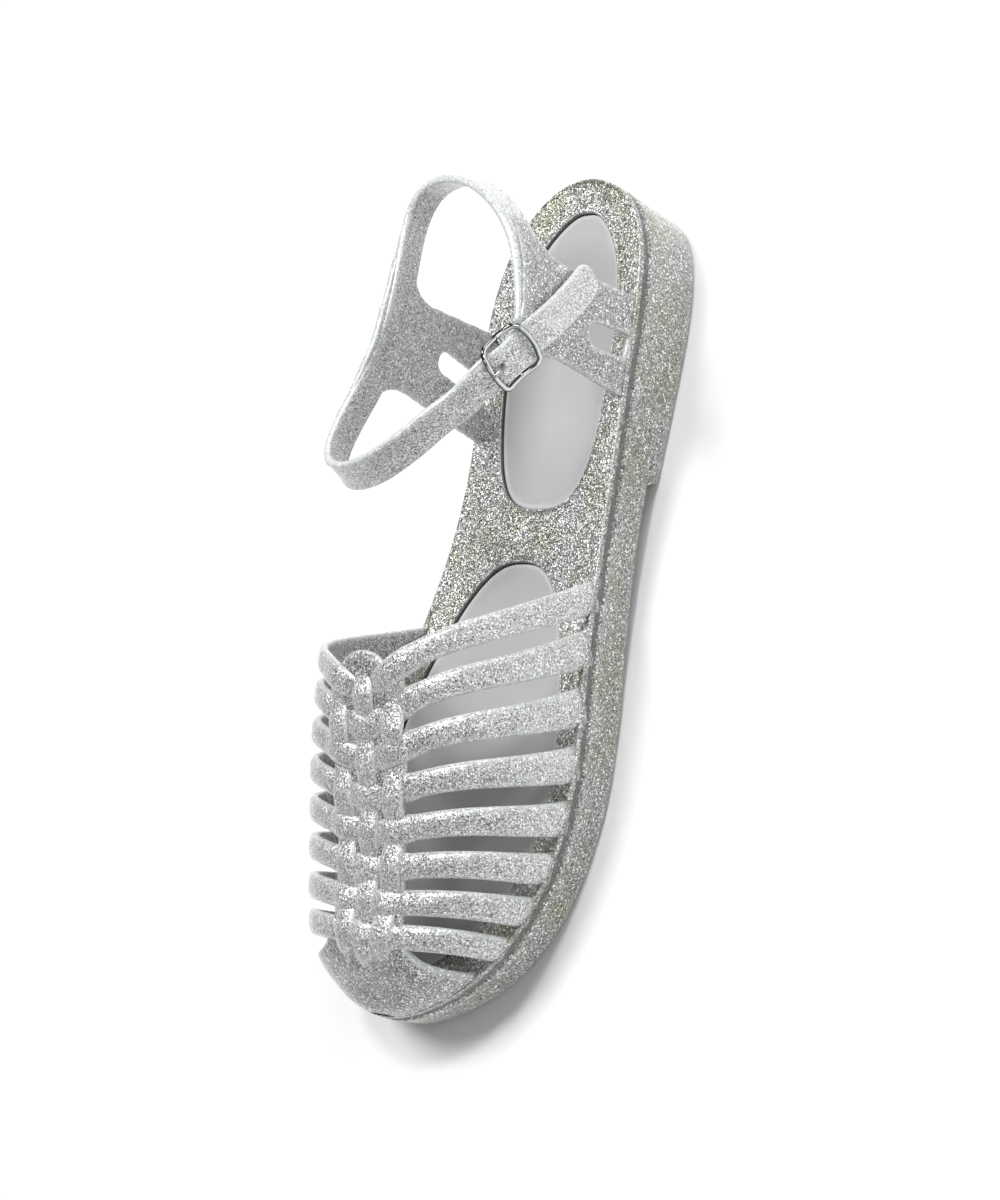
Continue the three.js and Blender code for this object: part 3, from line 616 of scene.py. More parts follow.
upperLook = {
    "flake": 0.28, "tilt": 0.55, "patch": 0.9, "patchiness": 0.35, "depth": 0.4,
    "cloud": 14.0, "cloudFrom": 0.36, "cloudGain": 3.0,
    "greys": [(0.0, 0.01), (0.16, 0.11), (0.5, 0.28), (0.8, 0.48), (0.97, 0.95)],
    "tint": (0.92, 0.97, 0.95), "edge": 0.7, "edgeFall": 5.0, "milkAndHighlight": (0.62, 0.66, 0.64),
    "bare": 0.3, "metal": 0.5, "roughness": 0.3, "dullSpread": 0.25, "gloss": 0.8, "coatRoughness": 0.2,
    "spark": 0.55, "sparkShare": 0.1, "sparkReach": 0.55, "sheen": 0.25, "sheenRoughness": 0.4,
    "shade": 0.0, "shadow": (0.07, 0.075, 0.08),
    "glow": 0.7, "glowColour": (1.0, 1.0, 0.96), "glowDepth": 0.0022,
}
# A lighter copy of the upper's glitter, painted light: on the straps and strips it stands for the highlights
# they catch, on the inner quarter for light shining through
paintedLighterLook = {
    **upperLook, "edge": 0.8, "roughness": 0.24,
    "greys": [(0.0, 0.05), (0.16, 0.25), (0.5, 0.48), (0.8, 0.7), (0.97, 1.0)],
}
# The sole's finish paints shade into its groove, below its map's middle
soleLook = {
    **upperLook, "depth": 1.0, "tint": (0.82, 0.83, 0.66), "edge": 0.35, "shade": 0.85, "glow": 0.2,
}
bandLook = {
    **upperLook, "edgeFall": 6.0, "edge": 0.65, "milkAndHighlight": (0.7, 0.74, 0.73), "metal": 0.35,
    "greys": [(0.0, 0.04), (0.18, 0.27), (0.45, 0.57), (0.8, 0.72), (0.97, 1.0)],
}
upperPlastic = glitterPlastic("glitter plastic, clear", upperLook)
paintedLighterPlastic = glitterPlastic("glitter plastic, painted lighter", paintedLighterLook)
bandPlastic = glitterPlastic("glitter plastic, band", bandLook)
solePlastic = glitterPlastic("glitter plastic, sole", soleLook)

padLook = {
    "colour": (0.43, 0.418, 0.43), "lighter": 1.16, "cloud": 28.0, "rim": (0.72, 0.71, 0.7), "rimFall": 24.0,
    "grain": 0.5, "grainDepth": 0.06, "crease": 75.0, "creaseStretch": (1.0, 0.35, 1.0),
    "creaseTurn": (0, 0, 0.5), "bump": 0.35, "bumpDepth": 0.0012, "roughness": 0.36, "dullSpread": 0.12,
    "gloss": 0.15, "coatRoughness": 0.3,
}


def padMaterial():
    finish = Finish("satin insole sheet")
    place = finish.place()
    broad = finish.noise(place, padLook["cloud"], Detail=2.0)
    fine = finish.noise(place, 1000 / padLook["grain"], Detail=3.0)
    base = finish.blend((broad - 0.3).held(), padLook["colour"],
                        tuple(value * padLook["lighter"] for value in padLook["colour"]))
    rim = ((finish.across() - 0.5).size() * 2) ** padLook["rimFall"]
    stretched = finish.out(finish.node("Mapping", None, Vector=place, Scale=padLook["creaseStretch"],
                                       Rotation=padLook["creaseTurn"]))
    creases = finish.noise(stretched, padLook["crease"], Detail=4.0, Roughness=0.45, Distortion=0.6)
    bump = finish.node("Bump", None, Strength=padLook["bump"], Distance=padLook["bumpDepth"],
                       Height=fine * padLook["grainDepth"] + creases)
    return finish.finish(
        Base_Color=finish.blend(rim.held(), base, padLook["rim"]), Normal=finish.out(bump),
        Roughness=fine * padLook["dullSpread"] + padLook["roughness"],
        Coat_Weight=padLook["gloss"], Coat_Roughness=padLook["coatRoughness"],
    )


chromeLook = {
    "soft": (0.55, 0.56, 0.58), "bright": (0.9, 0.91, 0.92), "reflectedDark": (0.03, 0.033, 0.04),
    "fine": 900.0, "broad": 160.0, "uneven": 0.5, "reflectionFall": 1.1, "roughness": 0.06, "dullSpread": 0.1,
}


# Chromed wire with a painted reflection: darker along its sides, standing for the strap beside it mirrored
# there
def chromeMaterial(name, reflectionDarkness):
    finish = Finish(name)
    place = finish.place()
    fine = finish.noise(place, chromeLook["fine"], Detail=3.0)
    broad = finish.noise(place, chromeLook["broad"], Detail=2.0)
    # Painted reflection: the share of the darker colour grows towards the wire's sides, broken up by broad
    # noise
    side = ((finish.across() - 0.5).size() * 2 + (broad - 0.5) * chromeLook["uneven"]).held()
    side = (side ** chromeLook["reflectionFall"] * reflectionDarkness).held()
    bright = finish.blend(broad, chromeLook["soft"], chromeLook["bright"])
    return finish.finish(Base_Color=finish.blend(side, bright, chromeLook["reflectedDark"]), Metallic=1.0,
                         Roughness=fine * chromeLook["dullSpread"] + chromeLook["roughness"])


padFinish = padMaterial()
chromeFrame = chromeMaterial("chromed wire", 1.0)
chromePin = chromeMaterial("chromed pin", 0.45)
print("finishes ready")

# The sole: rings from its underside up the side wall to the groove under the footbed
sole = {"steps": 120, "edgeRound": 1.6, "grooveDepth": 0.9, "grooveWidth": 1.4, "across": 24}
breastEnds = (alongY(shoe["breastAt"]), alongY(shoe["breastAt"] + shoe["breastSlope"]))
outline = ringPlan(edgeX, alongY(0), alongY(1), sole["steps"], breastEnds)


# Closes a ring with rows of faces from side to side at heights of their own
def closeAcross(bm, ring, cells, height):
    across, along = mapLayers(bm)
    count = len(ring)
    rows = count // 2 - 2
    grid = bmesh.ops.create_grid(bm, x_segments=cells, y_segments=rows, size=1)["verts"]
    for vert in grid:
        i = 1 + round((vert.co.y + 1) / 2 * rows)
        t = (vert.co.x + 1) / 2
        spot = ring[i].lerp(ring[count - i], t)
        if 1e-3 < t < 1 - 1e-3:
            spot.z = height(spot.x, spot.y)
        vert.co = spot
        vert[across] = 0.5
        vert[along] = spot.y / mapLength
    for tip, near, far in ((0, 1, count - 1), (count // 2, count // 2 - 1, count // 2 + 1)):
        corners = [bm.verts.new(ring[k]) for k in (tip, near, far)]
        for corner in corners:
            corner[across] = 0.5
            corner[along] = corner.co.y / mapLength
        bm.faces.new(corners)


# A block whose rings follow one plan. A row of its profile gives a ring's inset, its height and how near an
# edge it lies, below zero how deep it lies in painted groove shade, and the first and last rings are closed
# over.
def growBlock(bm, plan, profile, cells):
    rings = [ringAt(plan, inset, height) for inset, height, _ in profile]
    growRings(bm, rings, lambda step, spoke: 0.5 + profile[step][2] / 2,
              lambda step, spoke: plan[spoke].y / mapLength)
    for end in (0, -1):
        closeAcross(bm, rings[end], cells, profile[end][1])
    bmesh.ops.remove_doubles(bm, verts=bm.verts, dist=weldDistance)


def makeSole():
    bm = newMesh()
    taper, edge = shoe["sideTaper"], sole["edgeRound"]
    depth, width = sole["grooveDepth"], sole["grooveWidth"]
    roundIn = 0.134  # how far a quarter round stands in after a third of its turn

    def between(share):
        return lambda x, y: mix(underside(y) + edge, topEdge(y) - width - depth, share)

    profile = [
        (taper + edge, overUnderside(0), 0), (taper + edge * 0.5, overUnderside(edge * roundIn), 0),
        (taper + edge * roundIn, overUnderside(edge * 0.5), 0.6), (taper, overUnderside(edge), 0.9),
    ]
    profile += [(mix(taper, 0, share), between(share), near)
                for share, near in ((0.25, 0.2), (0.5, 0), (0.75, 0.2))]
    profile += [
        # The lip's rows take milky edge shares; the groove's inner wall takes negative shares, for painted
        # groove shade
        (0.0, overTop(-width - depth - 0.35), 0.9), (0.12, overTop(-width - depth * 0.8), 0.5),
        (depth * 0.85, overTop(-width - 0.1), -0.8), (depth, overTop(-width * 0.6), -1),
        (depth, overTop(0), -1),
    ]
    growBlock(bm, outline, profile, sole["across"])
    finishPiece("glitter_sole", bm, solePlastic, ("sole",))


makeSole()

# The two pads follow the outline at a set distance
pads = {
    "heel_pad": {"node": "insole_heel", "from": 0.042, "to": 0.398, "outer": 8.5, "inner": 11.0,
                 "square": 3.0},
    "forefoot_pad": {"node": "insole_forefoot", "from": 0.463, "to": 0.942, "outer": 9.0, "inner": 8.5,
                     "square": 2.6},
}
padForm = {"steps": 70, "recess": 0.8, "clearance": 0.35, "crown": 0.35, "across": 30}


def padPlace(row):
    return alongY((row["from"] + row["to"]) / 2), (row["to"] - row["from"]) / 2 * shoe["length"]


def padPlan(row, grow):
    middle, halfLength = padPlace(row)
    halfLength += grow

    def plan(side, y):
        off = min(abs(y - middle) / halfLength, 1)
        narrow = (1 - off ** row["square"]) ** (1 / row["square"])
        low = edgeX(-1, y) + row["inner"] - grow
        high = edgeX(1, y) - row["outer"] + grow
        return mix((low + high) / 2, high if side > 0 else low, narrow)

    return ringPlan(plan, middle + halfLength, middle - halfLength, padForm["steps"])


def makePad(name, row):
    bm = newMesh()
    middle, halfLength = padPlace(row)

    def face(drop):
        def height(x, y):
            low, high = edgeX(-1, y) + row["inner"], edgeX(1, y) - row["outer"]
            offX = abs(x - (low + high) / 2) / max((high - low) / 2, 1)
            offY = abs(y - middle) / halfLength
            crown = max(1 - offX ** 2, 0) * max(1 - offY ** 4, 0) * padForm["crown"]
            return footbed(x, y) - padForm["recess"] - drop + crown
        return height

    growBlock(bm, padPlan(row, 0), [
        (0.25, overTop(0.05), 1), (0.0, overTop(0.3), 1), (0.0, face(0.35), 1), (0.12, face(0.12), 1),
        (0.4, face(0.0), 0.99), (0.9, face(-0.04), 0.97), (1.6, face(0.03), 0.93), (2.6, face(0.0), 0.9),
    ], padForm["across"])
    piece = finishPiece(name, bm, padFinish, (row["node"],))


for padName, padRow in pads.items():
    makePad(padName, padRow)


# Cuts one closed shape out of a piece and leaves no modifier behind
def subtract(body, cutter):
    bmesh.ops.recalc_face_normals(cutter, faces=cutter.faces)
    toMetres(cutter)
    holder = addObject("cutter", meshFrom(cutter, "cutter"))
    cut = body.modifiers.new("cut", "BOOLEAN")
    cut.operation = "DIFFERENCE"
    cut.solver = "EXACT"
    cut.object = holder
    result = evaluatedMesh(body)
    body.modifiers.remove(cut)
    old = body.data
    body.data = result
    bpy.data.meshes.remove(old)
    bpy.data.objects.remove(holder)


# The footbed plate with its two recesses
plate = {"round": 0.7, "across": 40, "cutFrom": -4, "cutTo": 8}


def makePlate():
    bm = newMesh()
    rise, gap, curve = shoe["footbedRise"], shoe["seatGap"], plate["round"]
    # The plate's foot in the sole's groove takes negative shares, for painted groove shade; its rounded rim
    # takes milky edge shares
    growBlock(bm, outline, [
        (curve, overTop(gap), -1), (curve * 0.3, overTop(gap + curve * 0.3), -0.9),
        (0.0, overTop(gap + curve), -0.4), (0.0, overTop(rise - curve), 0.5),
        (curve * 0.13, overTop(rise - curve * 0.5), 0.9), (curve * 0.5, overTop(rise - curve * 0.13), 0.9),
        (curve, overFootbed(-0.02), 0.6), (1.8, overFootbed(0), 0), (3.2, overFootbed(0), 0),
        (5.0, overFootbed(0), 0),
    ], plate["across"])
    body = finishPiece("footbed", bm, solePlastic, ("upper",))
    for row in pads.values():
        cutter = newMesh()
        room = padPlan(row, padForm["clearance"])
        growRings(cutter, [ringAt(room, 0, overTop(plate[end])) for end in ("cutFrom", "cutTo")],
                  lambda step, spoke: 0.5, lambda step, spoke: 0.0)
        bmesh.ops.holes_fill(cutter, edges=[edge for edge in cutter.edges if edge.is_boundary], sides=0)
        subtract(body, cutter)


makePlate()

# A thin welt round each pad's recess
welt = {"out": 0.25, "sink": 0.12, "width": 1.0, "thickness": 0.9, "sides": 10}


def makeWelts():
    for name, row in pads.items():
        bm = newMesh()
        places = []
        for spot in padPlan(row, padForm["clearance"] + welt["out"]):
            point = Vector((spot.x, spot.y, footbed(spot.x, spot.y) - welt["sink"]))
            places.append(station(point, Vector((0, 0, 1)), welt["width"], welt["thickness"]))
        # With the sole's finish, the half of each welt's section below its map's middle takes painted groove
        # shade
        sweep(bm, framesAlong(places, closed=True), roundSection(welt["sides"]), closed=True)
        finishPiece(name.replace("pad", "welt"), bm, solePlastic)


makeWelts()


# The vamp's arch over the foot: s runs from -1 at the inner rim over 0 at the crest to 1 outside
@lru_cache(maxsize=None)
def archLine(y, inset, side):
    low, high = edgeX(-1, y) + inset, edgeX(1, y) - inset
    base = topEdge(y) + shoe["rootDepth"] / 2
    rise = max(shoe["tabHeight"] * crestShare(shareOf(y)) - (inset - shoe["upperInset"]) - base, 0.4)
    crest = (low + high) * shoe["crestLean"]
    width = (high if side > 0 else low) - crest
    fine = 32
    line = []
    for i in range(fine + 1):
        turn = math.pi / 2 * (1 - i / fine)
        line.append((crest + width * math.cos(turn) ** shoe["archSide"] if i else crest,
                     base + rise * math.sin(turn) ** shoe["archTop"] if i < fine else base))
    travelled = [0.0]
    for i in range(1, fine + 1):
        travelled.append(travelled[-1] + math.dist(line[i], line[i - 1]))
    return line, travelled


def archAt(y, s, inset):
    y = round(y, 2)
    line, travelled = archLine(y, round(inset, 2), 1 if s >= 0 else -1)
    goal = min(abs(s), 1.0) * travelled[-1]
    high = max(bisect_left(travelled, goal), 1)
    low = high - 1
    t = (goal - travelled[low]) / (travelled[high] - travelled[low])
    return Vector((mix(line[low][0], line[high][0], t), y, mix(line[low][1], line[high][1], t)))


def vampPoint(y, s, sink):
    step = 0.6
    inset = shoe["upperInset"]
    point = archAt(y, s, inset)
    along = archAt(y - step, s, inset) - archAt(y + step, s, inset)
    around = archAt(y, min(s + 0.02, 1), inset) - archAt(y, max(s - 0.02, -1), inset)
    out = -around.cross(along).normalized()
    return point - out * sink, out


# Straps, rear to front: place of the crest, of the outer and the inner rim, bow, width at the foot
strapRows = [
    (0.672, 0.501, 0.560, 0.0, 1.32), (0.707, 0.560, 0.605, 0.1, 1.50),
    (0.743, 0.626, 0.655, 0.2, 1.55), (0.779, 0.690, 0.705, 0.3, 1.45),
    (0.815, 0.752, 0.757, 0.4, 1.40), (0.851, 0.809, 0.809, 0.4, 1.30),
    (0.887, 0.860, 0.860, 0.4, 1.30), (0.922, 0.906, 0.906, 0.4, 1.15),
]
vamp = {
    "strapWidth": 7.2, "strapThickness": 2.7, "strapRise": 0.5, "strapFlare": 2.5, "cuts": 96,
    "stripWidth": 8.6, "stripThickness": 2.0, "stripRise": 0.5, "stripSpacing": 0.165, "stripCuts": 140,
    "stripFrom": 0.64, "middleFrom": 0.632, "stripTo": 0.965, "stripIn": (0.648, 0.665),
    "stripOut": (0.935, 0.955), "stripLift": 0.3, "stripSink": 0.5, "stripNarrow": 0.8,
    "weave": 0.75, "weaveFade": (1.35, 1.9), "crossLift": 0.25, "crossWidth": 1.12, "crossThickness": 0.86,
    "bedThickness": 2.4, "bedVoxel": 0.62, "tabEndAt": 0.624, "spineHalfWidth": 15.0,
    "capEdgeAt": 0.948, "capRim": 2.5, "capDip": 3.5, "capBend": 0.4,
    "holes": (0.725, 0.797, 0.869), "hole": 3.2,
}


def weaveAt(at, s):
    order = (at - strapRows[0][0]) / (strapRows[1][0] - strapRows[0][0])
    return math.cos(math.pi * (order + s / vamp["stripSpacing"]))


def makeStraps():
    bm = newMesh()
    fadeFrom, fadeTo = (vamp["stripSpacing"] * share for share in vamp["weaveFade"])
    for crest, outer, inner, bow, foot in strapRows:
        places = []
        for i in range(vamp["cuts"] + 1):
            s = mix(-1, 1, i / vamp["cuts"])
            reach = abs(s)
            y = alongY(mix(crest, outer if s > 0 else inner, mix(reach, reach * reach, bow)))
            spine = 1 - smoothStep(fadeFrom, fadeTo, reach)
            lift = (vamp["crossLift"] - vamp["weave"] * weaveAt(crest, s)) * spine
            point, out = vampPoint(y, s, vamp["strapThickness"] / 2 - vamp["strapRise"] - lift)
            width = vamp["strapWidth"] * mix(1, foot, reach ** vamp["strapFlare"])
            places.append(station(point, out, width * mix(1, vamp["crossWidth"], spine),
                                  vamp["strapThickness"] * mix(1, vamp["crossThickness"], spine)))
        sweep(bm, framesAlong(places), wholeSection(softSection))
    finishPiece("vamp_straps", bm, paintedLighterPlastic)


def makeStrips():
    bm = newMesh()
    for strip in (-1, 0, 1):
        s = strip * vamp["stripSpacing"]
        start = vamp["stripFrom"] if strip else vamp["middleFrom"]
        places = []
        for i in range(vamp["stripCuts"] + 1):
            at = mix(start, vamp["stripTo"], i / vamp["stripCuts"])
            fade = smoothStep(*vamp["stripIn"], at) * (1 - smoothStep(*vamp["stripOut"], at))
            lift = vamp["weave"] * weaveAt(at, s) + vamp["stripLift"]
            lift = lift * fade - vamp["stripSink"] * (1 - fade)
            point, out = vampPoint(alongY(at), s, vamp["stripThickness"] / 2 - vamp["stripRise"] - lift)
            places.append(station(point, out, vamp["stripWidth"] * mix(vamp["stripNarrow"], 1, fade),
                                  vamp["stripThickness"]))
        sweep(bm, framesAlong(places), wholeSection(softSection))
    finishPiece("vamp_strips", bm, paintedLighterPlastic)


# The share of the arch, -1 to 1, at which it stands over an x
def shareOver(x, y):
    low, high = -1.0, 1.0
    for _ in range(24):
        middle = (low + high) / 2
        if archAt(y, middle, shoe["upperInset"]).x < x:
            low = middle
        else:
            high = middle
    return (low + high) / 2


bedFlat = {"wide": 60.0, "long": 150.0, "fold": 5.0, "from": 0.594}


def bedY(t, inset):
    end = alongY(1) + inset
    return mix(alongY(bedFlat["from"]), end, math.sin(math.pi / 2 * clamp(t, 0, 1)) * 0.999)


def bedShare(y):
    start, end = alongY(bedFlat["from"]), alongY(1) + shoe["upperInset"]
    return math.asin(clamp((y - start) / (end - start) / 0.999, 0, 1)) / (math.pi / 2)


def flatPoint(x, y):
    return (shareOver(x, y) * bedFlat["wide"], bedShare(y) * bedFlat["long"])


# The spine's bed and the toe cap in one sheet, laid flat, remeshed and then bent over the arch
def makeBed():
    half = vamp["spineHalfWidth"]
    edge = alongY(vamp["capEdgeAt"])
    rear = alongY(vamp["tabEndAt"]) - half
    wide, long, fold = bedFlat["wide"], bedFlat["long"], bedFlat["fold"]
    spine = [(half, mix(edge + half * 0.75, rear, i / 30)) for i in range(31)]
    tab = [(half * math.cos(turn), rear + half * math.sin(turn)) for turn in
           (math.pi * i / 40 for i in range(1, 40))]
    plan = [flatPoint(x, y) for x, y in spine + tab + [(-x, y) for x, y in spine[::-1]]]

    def capEdge(start, side):
        rim = (side * (wide + 2), bedShare(edge + vamp["capRim"]) * long)
        bend = (side * wide * vamp["capBend"], bedShare(edge - vamp["capDip"]) * long)
        return quadratic(start, bend, rim, 24)

    flat = capEdge(plan[0], 1)[:0:-1] + plan + capEdge(plan[-1], -1)[1:]
    flat += [(-wide - 2, long + fold), (wide + 2, long + fold)]
    loops = [denseLoop(flat, 0.6)]
    for at in vamp["holes"]:
        y = alongY(at)
        size, x = vamp["hole"], -vamp["stripWidth"] * 0.5
        corners = [flatPoint(x - size * 0.55, y - size / 3), flatPoint(x + size * 0.55, y - size / 3),
                   flatPoint(x + size * 0.75, y + size / 3), flatPoint(x - size * 0.35, y + size / 3)]
        loops.append(denseLoop(corners, 0.4))
    bm = flatSheet(loops, vamp["bedThickness"], vamp["bedVoxel"])
    for vert in bm.verts:
        a, b, c = vert.co
        deep = shoe["upperInset"] + vamp["bedThickness"]
        inset = round(mix(deep, shoe["upperInset"], clamp(c / vamp["bedThickness"], 0, 1)), 2)
        y = bedY(b / long, inset)
        spot = archAt(y, clamp(a / wide, -1, 1), inset)
        spot.z = mix(spot.z, topEdge(y) + shoe["rootDepth"] / 2, clamp((b - long) / (fold - 1), 0, 1))
        vert.co = spot
    finishPiece("toe_cap", bm, upperPlastic)


makeBed()
makeStraps()
makeStrips()

# The collar band from the outer quarter round heel and instep: place, across, height, lean
collarRows = [
    (0.250, 0.377, 0.905, -2), (0.200, 0.351, 0.927, 1), (0.161, 0.308, 0.945, 4),
    (0.128, 0.243, 0.963, 9), (0.098, 0.144, 0.975, 11), (0.077, 0.030, 0.977, 11),
    (0.067, -0.088, 0.970, 11), (0.069, -0.201, 0.955, 15), (0.088, -0.278, 0.936, 17),
    (0.121, -0.301, 0.919, 17), (0.164, -0.298, 0.905, 15), (0.215, -0.291, 0.897, 11),
    (0.266, -0.288, 0.901, 8), (0.312, -0.310, 0.919, 7), (0.353, -0.340, 0.943, 9),
    (0.390, -0.351, 0.962, 14), (0.415, -0.330, 0.973, 18), (0.428, -0.268, 0.982, 20),
    (0.429, -0.166, 0.997, 20), (0.418, -0.051, 1.013, 19), (0.398, 0.056, 1.021, 17),
    (0.370, 0.153, 1.013, 14), (0.343, 0.239, 0.990, 11),
]
tailRows = [(0.235, 0.83, 1), (0.21, 0.755, 1), (0.182, 0.68, 1), (0.162, 0.63, 1), (0.151, 0.603, 1)]
collar = {
    "width": 10.4, "thickness": 2.4, "tailThickness": 1.8, "cuts": 8,
    "wall": 2.2, "wallVoxel": 0.55, "wallTop": 0.93, "wallBend": 0.9,
    "buckleLength": 15.4, "buckleWidth": 15.6, "wire": 1.5, "pin": 1.2, "gap": 0.5,
    "buckleAt": 0.287, "buckleHeight": 0.946, "buckleAlong": (0.3, 0.845, -0.445),
    "buckleOut": (0.93, -0.28, 0.2), "evenPath": 8, "evenFacing": 16, "centreAt": 0.25, "stretch": 0.6,
    "quarterTop": 1.01, "slotFoot": 1.3,
}
outerRows = sorted(collarRows[:5] + collarRows[-2:])
innerRows = sorted(collarRows[8:16])
outerTop, innerTop = column(outerRows, 1), column(innerRows, 1)


def wallX(side, y, z):
    foot = edgeX(side, y) - side * (shoe["upperInset"] + collar["wall"] / 2)
    base = topEdge(y) + shoe["footbedRise"]
    row = (outerTop if side > 0 else innerTop)(shareOf(y))
    t = clamp((z - base) / (shoe["collarHeight"] * collar["wallTop"] - base), 0, 1.1)
    return mix(foot, row * shoe["ballWidth"], t ** collar["wallBend"])


def collarOut(point, lean):
    away = Vector((point.x, (point.y - alongY(collar["centreAt"])) * collar["stretch"], 0)).normalized()
    tip = math.radians(lean)
    return away * math.cos(tip) + Vector((0, 0, math.sin(tip)))


def buckleSeat():
    y = alongY(collar["buckleAt"])
    z = collar["buckleHeight"] * shoe["collarHeight"]
    centre = Vector((wallX(1, y, z) + collar["wall"] / 2 + shoe["seatGap"], y, z))
    along = Vector(collar["buckleAlong"]).normalized()
    across = Vector(collar["buckleOut"]).cross(along).normalized()
    return centre, along, across, along.cross(across)


seatCentre, seatAlong, seatAcross, seatOut = buckleSeat()
barHeight = collar["gap"] + collar["wire"] / 2
humpHeight = barHeight + collar["wire"] / 2 + collar["gap"] + collar["tailThickness"] / 2
restHeight = collar["gap"] + collar["tailThickness"] / 2
endBarHeight = restHeight + collar["tailThickness"] / 2 + collar["gap"] + collar["wire"] / 2


def atBuckle(along, across, out):
    return seatCentre + seatAlong * along + seatAcross * across + seatOut * out


def bandKnots():
    half = collar["buckleLength"] / 2
    knots = []
    for at, across, height, lean in collarRows:
        point = Vector((across * shoe["ballWidth"], alongY(at), height * shoe["collarHeight"]))
        knots.append(station(point, collarOut(point, lean), collar["width"], collar["thickness"]))
    for share, rise in ((-1, 0), (-0.5, 0.85), (0, 1), (0.5, 0.6), (1, 0)):
        point = atBuckle(half * share, 0, mix(restHeight, humpHeight, rise))
        knots.append(station(point, seatOut, collar["width"], collar["tailThickness"]))
    for at, height, width in tailRows:
        y, z = alongY(at), height * shoe["collarHeight"]
        point = Vector((wallX(1, y, z) + collar["wall"] / 2 + restHeight, y, z))
        knots.append(station(point, Vector((1, 0, 0)), collar["width"] * width, collar["tailThickness"]))
    return knots


def smoothBand(knots, cuts):
    path = curveThrough([knot["point"] for knot in knots])
    facing = curveThrough([knot["out"] for knot in knots])
    count = len(knots) - 1
    places = []
    for i in range(count * cuts + 1):
        spot = i / cuts
        k = min(int(spot), count - 1)
        t = smoothStep(0, 1, spot - k)
        places.append(station(
            path(spot / count), facing(spot / count).normalized(),
            mix(knots[k]["width"], knots[k + 1]["width"], t),
            mix(knots[k]["thickness"], knots[k + 1]["thickness"], t),
        ))
    loose = (len(collarRows) - 2) * cuts
    for name, reach in (("point", collar["evenPath"]), ("out", collar["evenFacing"])):
        even = []
        for i in range(loose):
            span = min(reach, i, loose - 1 - i)
            near = [place[name] for place in places[i - span:i + span + 1]]
            even.append(sum(near, Vector()) / len(near))
        for place, value in zip(places, even):
            place[name] = value
    return framesAlong(places)


def makeBand():
    bm = newMesh()
    frames = roundEnds(smoothBand(bandKnots(), collar["cuts"]), collar["width"] / 2, (False, True))
    sweep(bm, frames, wholeSection(beadedSection))
    band = finishPiece("ankle_band", bm, bandPlastic)
    cutter = newMesh()
    width = collar["pin"] + collar["gap"] * 2
    places = [station(atBuckle(-collar["buckleLength"] * 0.28, 0, humpHeight + rise), seatAlong,
                      width, collar["buckleLength"] * 0.19) for rise in (-5, 3)]
    sweep(cutter, framesAlong(places), roundSection(20))
    subtract(band, cutter)


# Each quarter in side view: place, height as a share of the collar's above the rim, corner radius
quarters = {
    "outer_quarter": {
        "side": 1,
        "corners": [(0.15, -0.04, 0), (0.157, 0.72, 9), (0.112, 0.88, 0), (0.112, 0.97, 0), (0.25, 0.94, 8),
                    (0.296, 0.97, 3), (0.306, 0.84, 3), (0.264, 0.64, 9), (0.27, -0.04, 0)],
        "slot": (0.197, 0.226, 0.32, -0.006), "plastic": upperPlastic,
    },
    "inner_quarter": {
        "side": -1,
        "corners": [(0.184, -0.04, 0), (0.194, 0.72, 8), (0.12, 0.84, 0), (0.12, 0.95, 0), (0.38, 1.0, 0),
                    (0.38, 0.87, 0), (0.297, 0.8, 12), (0.32, -0.04, 0)],
        # The inner quarter takes the lighter copy as a painted glow of light through the plastic
        "slot": (0.244, 0.271, 0.4, 0.01), "plastic": paintedLighterPlastic,
    },
}


def makeQuarter(name, row):
    side = row["side"]
    corners = []
    for at, up, _ in row["corners"]:
        y = alongY(at)
        rim = topEdge(y) + shoe["footbedRise"]
        corners.append((y, rim + up * (shoe["collarHeight"] * collar["quarterTop"] - rim)))
    loop = denseLoop(roundedLoop(corners, [corner[2] for corner in row["corners"]]), 0.5)
    start, end, top, lean = row["slot"]
    low, high = alongY(end), alongY(start)
    rim = topEdge(low)
    base, crown = rim + shoe["footbedRise"] * collar["slotFoot"], rim + top * (shoe["collarHeight"] - rim)
    radius, shift = (high - low) / 2, lean * shoe["length"]
    arc = [((low + high) / 2 + shift + radius * math.cos(turn), crown + radius * math.sin(turn))
           for turn in (math.pi * i / 16 for i in range(17))]
    slot = denseLoop([(low, base), (high, base)] + arc, 0.5)
    bm = flatSheet([loop, slot], collar["wall"], collar["wallVoxel"])
    for vert in bm.verts:
        y, z, c = vert.co
        vert.co = Vector((wallX(side, y, z) + c - collar["wall"] / 2, y, z))
    finishPiece(name, bm, row["plastic"])


makeBand()
for quarterName, quarterRow in quarters.items():
    makeQuarter(quarterName, quarterRow)


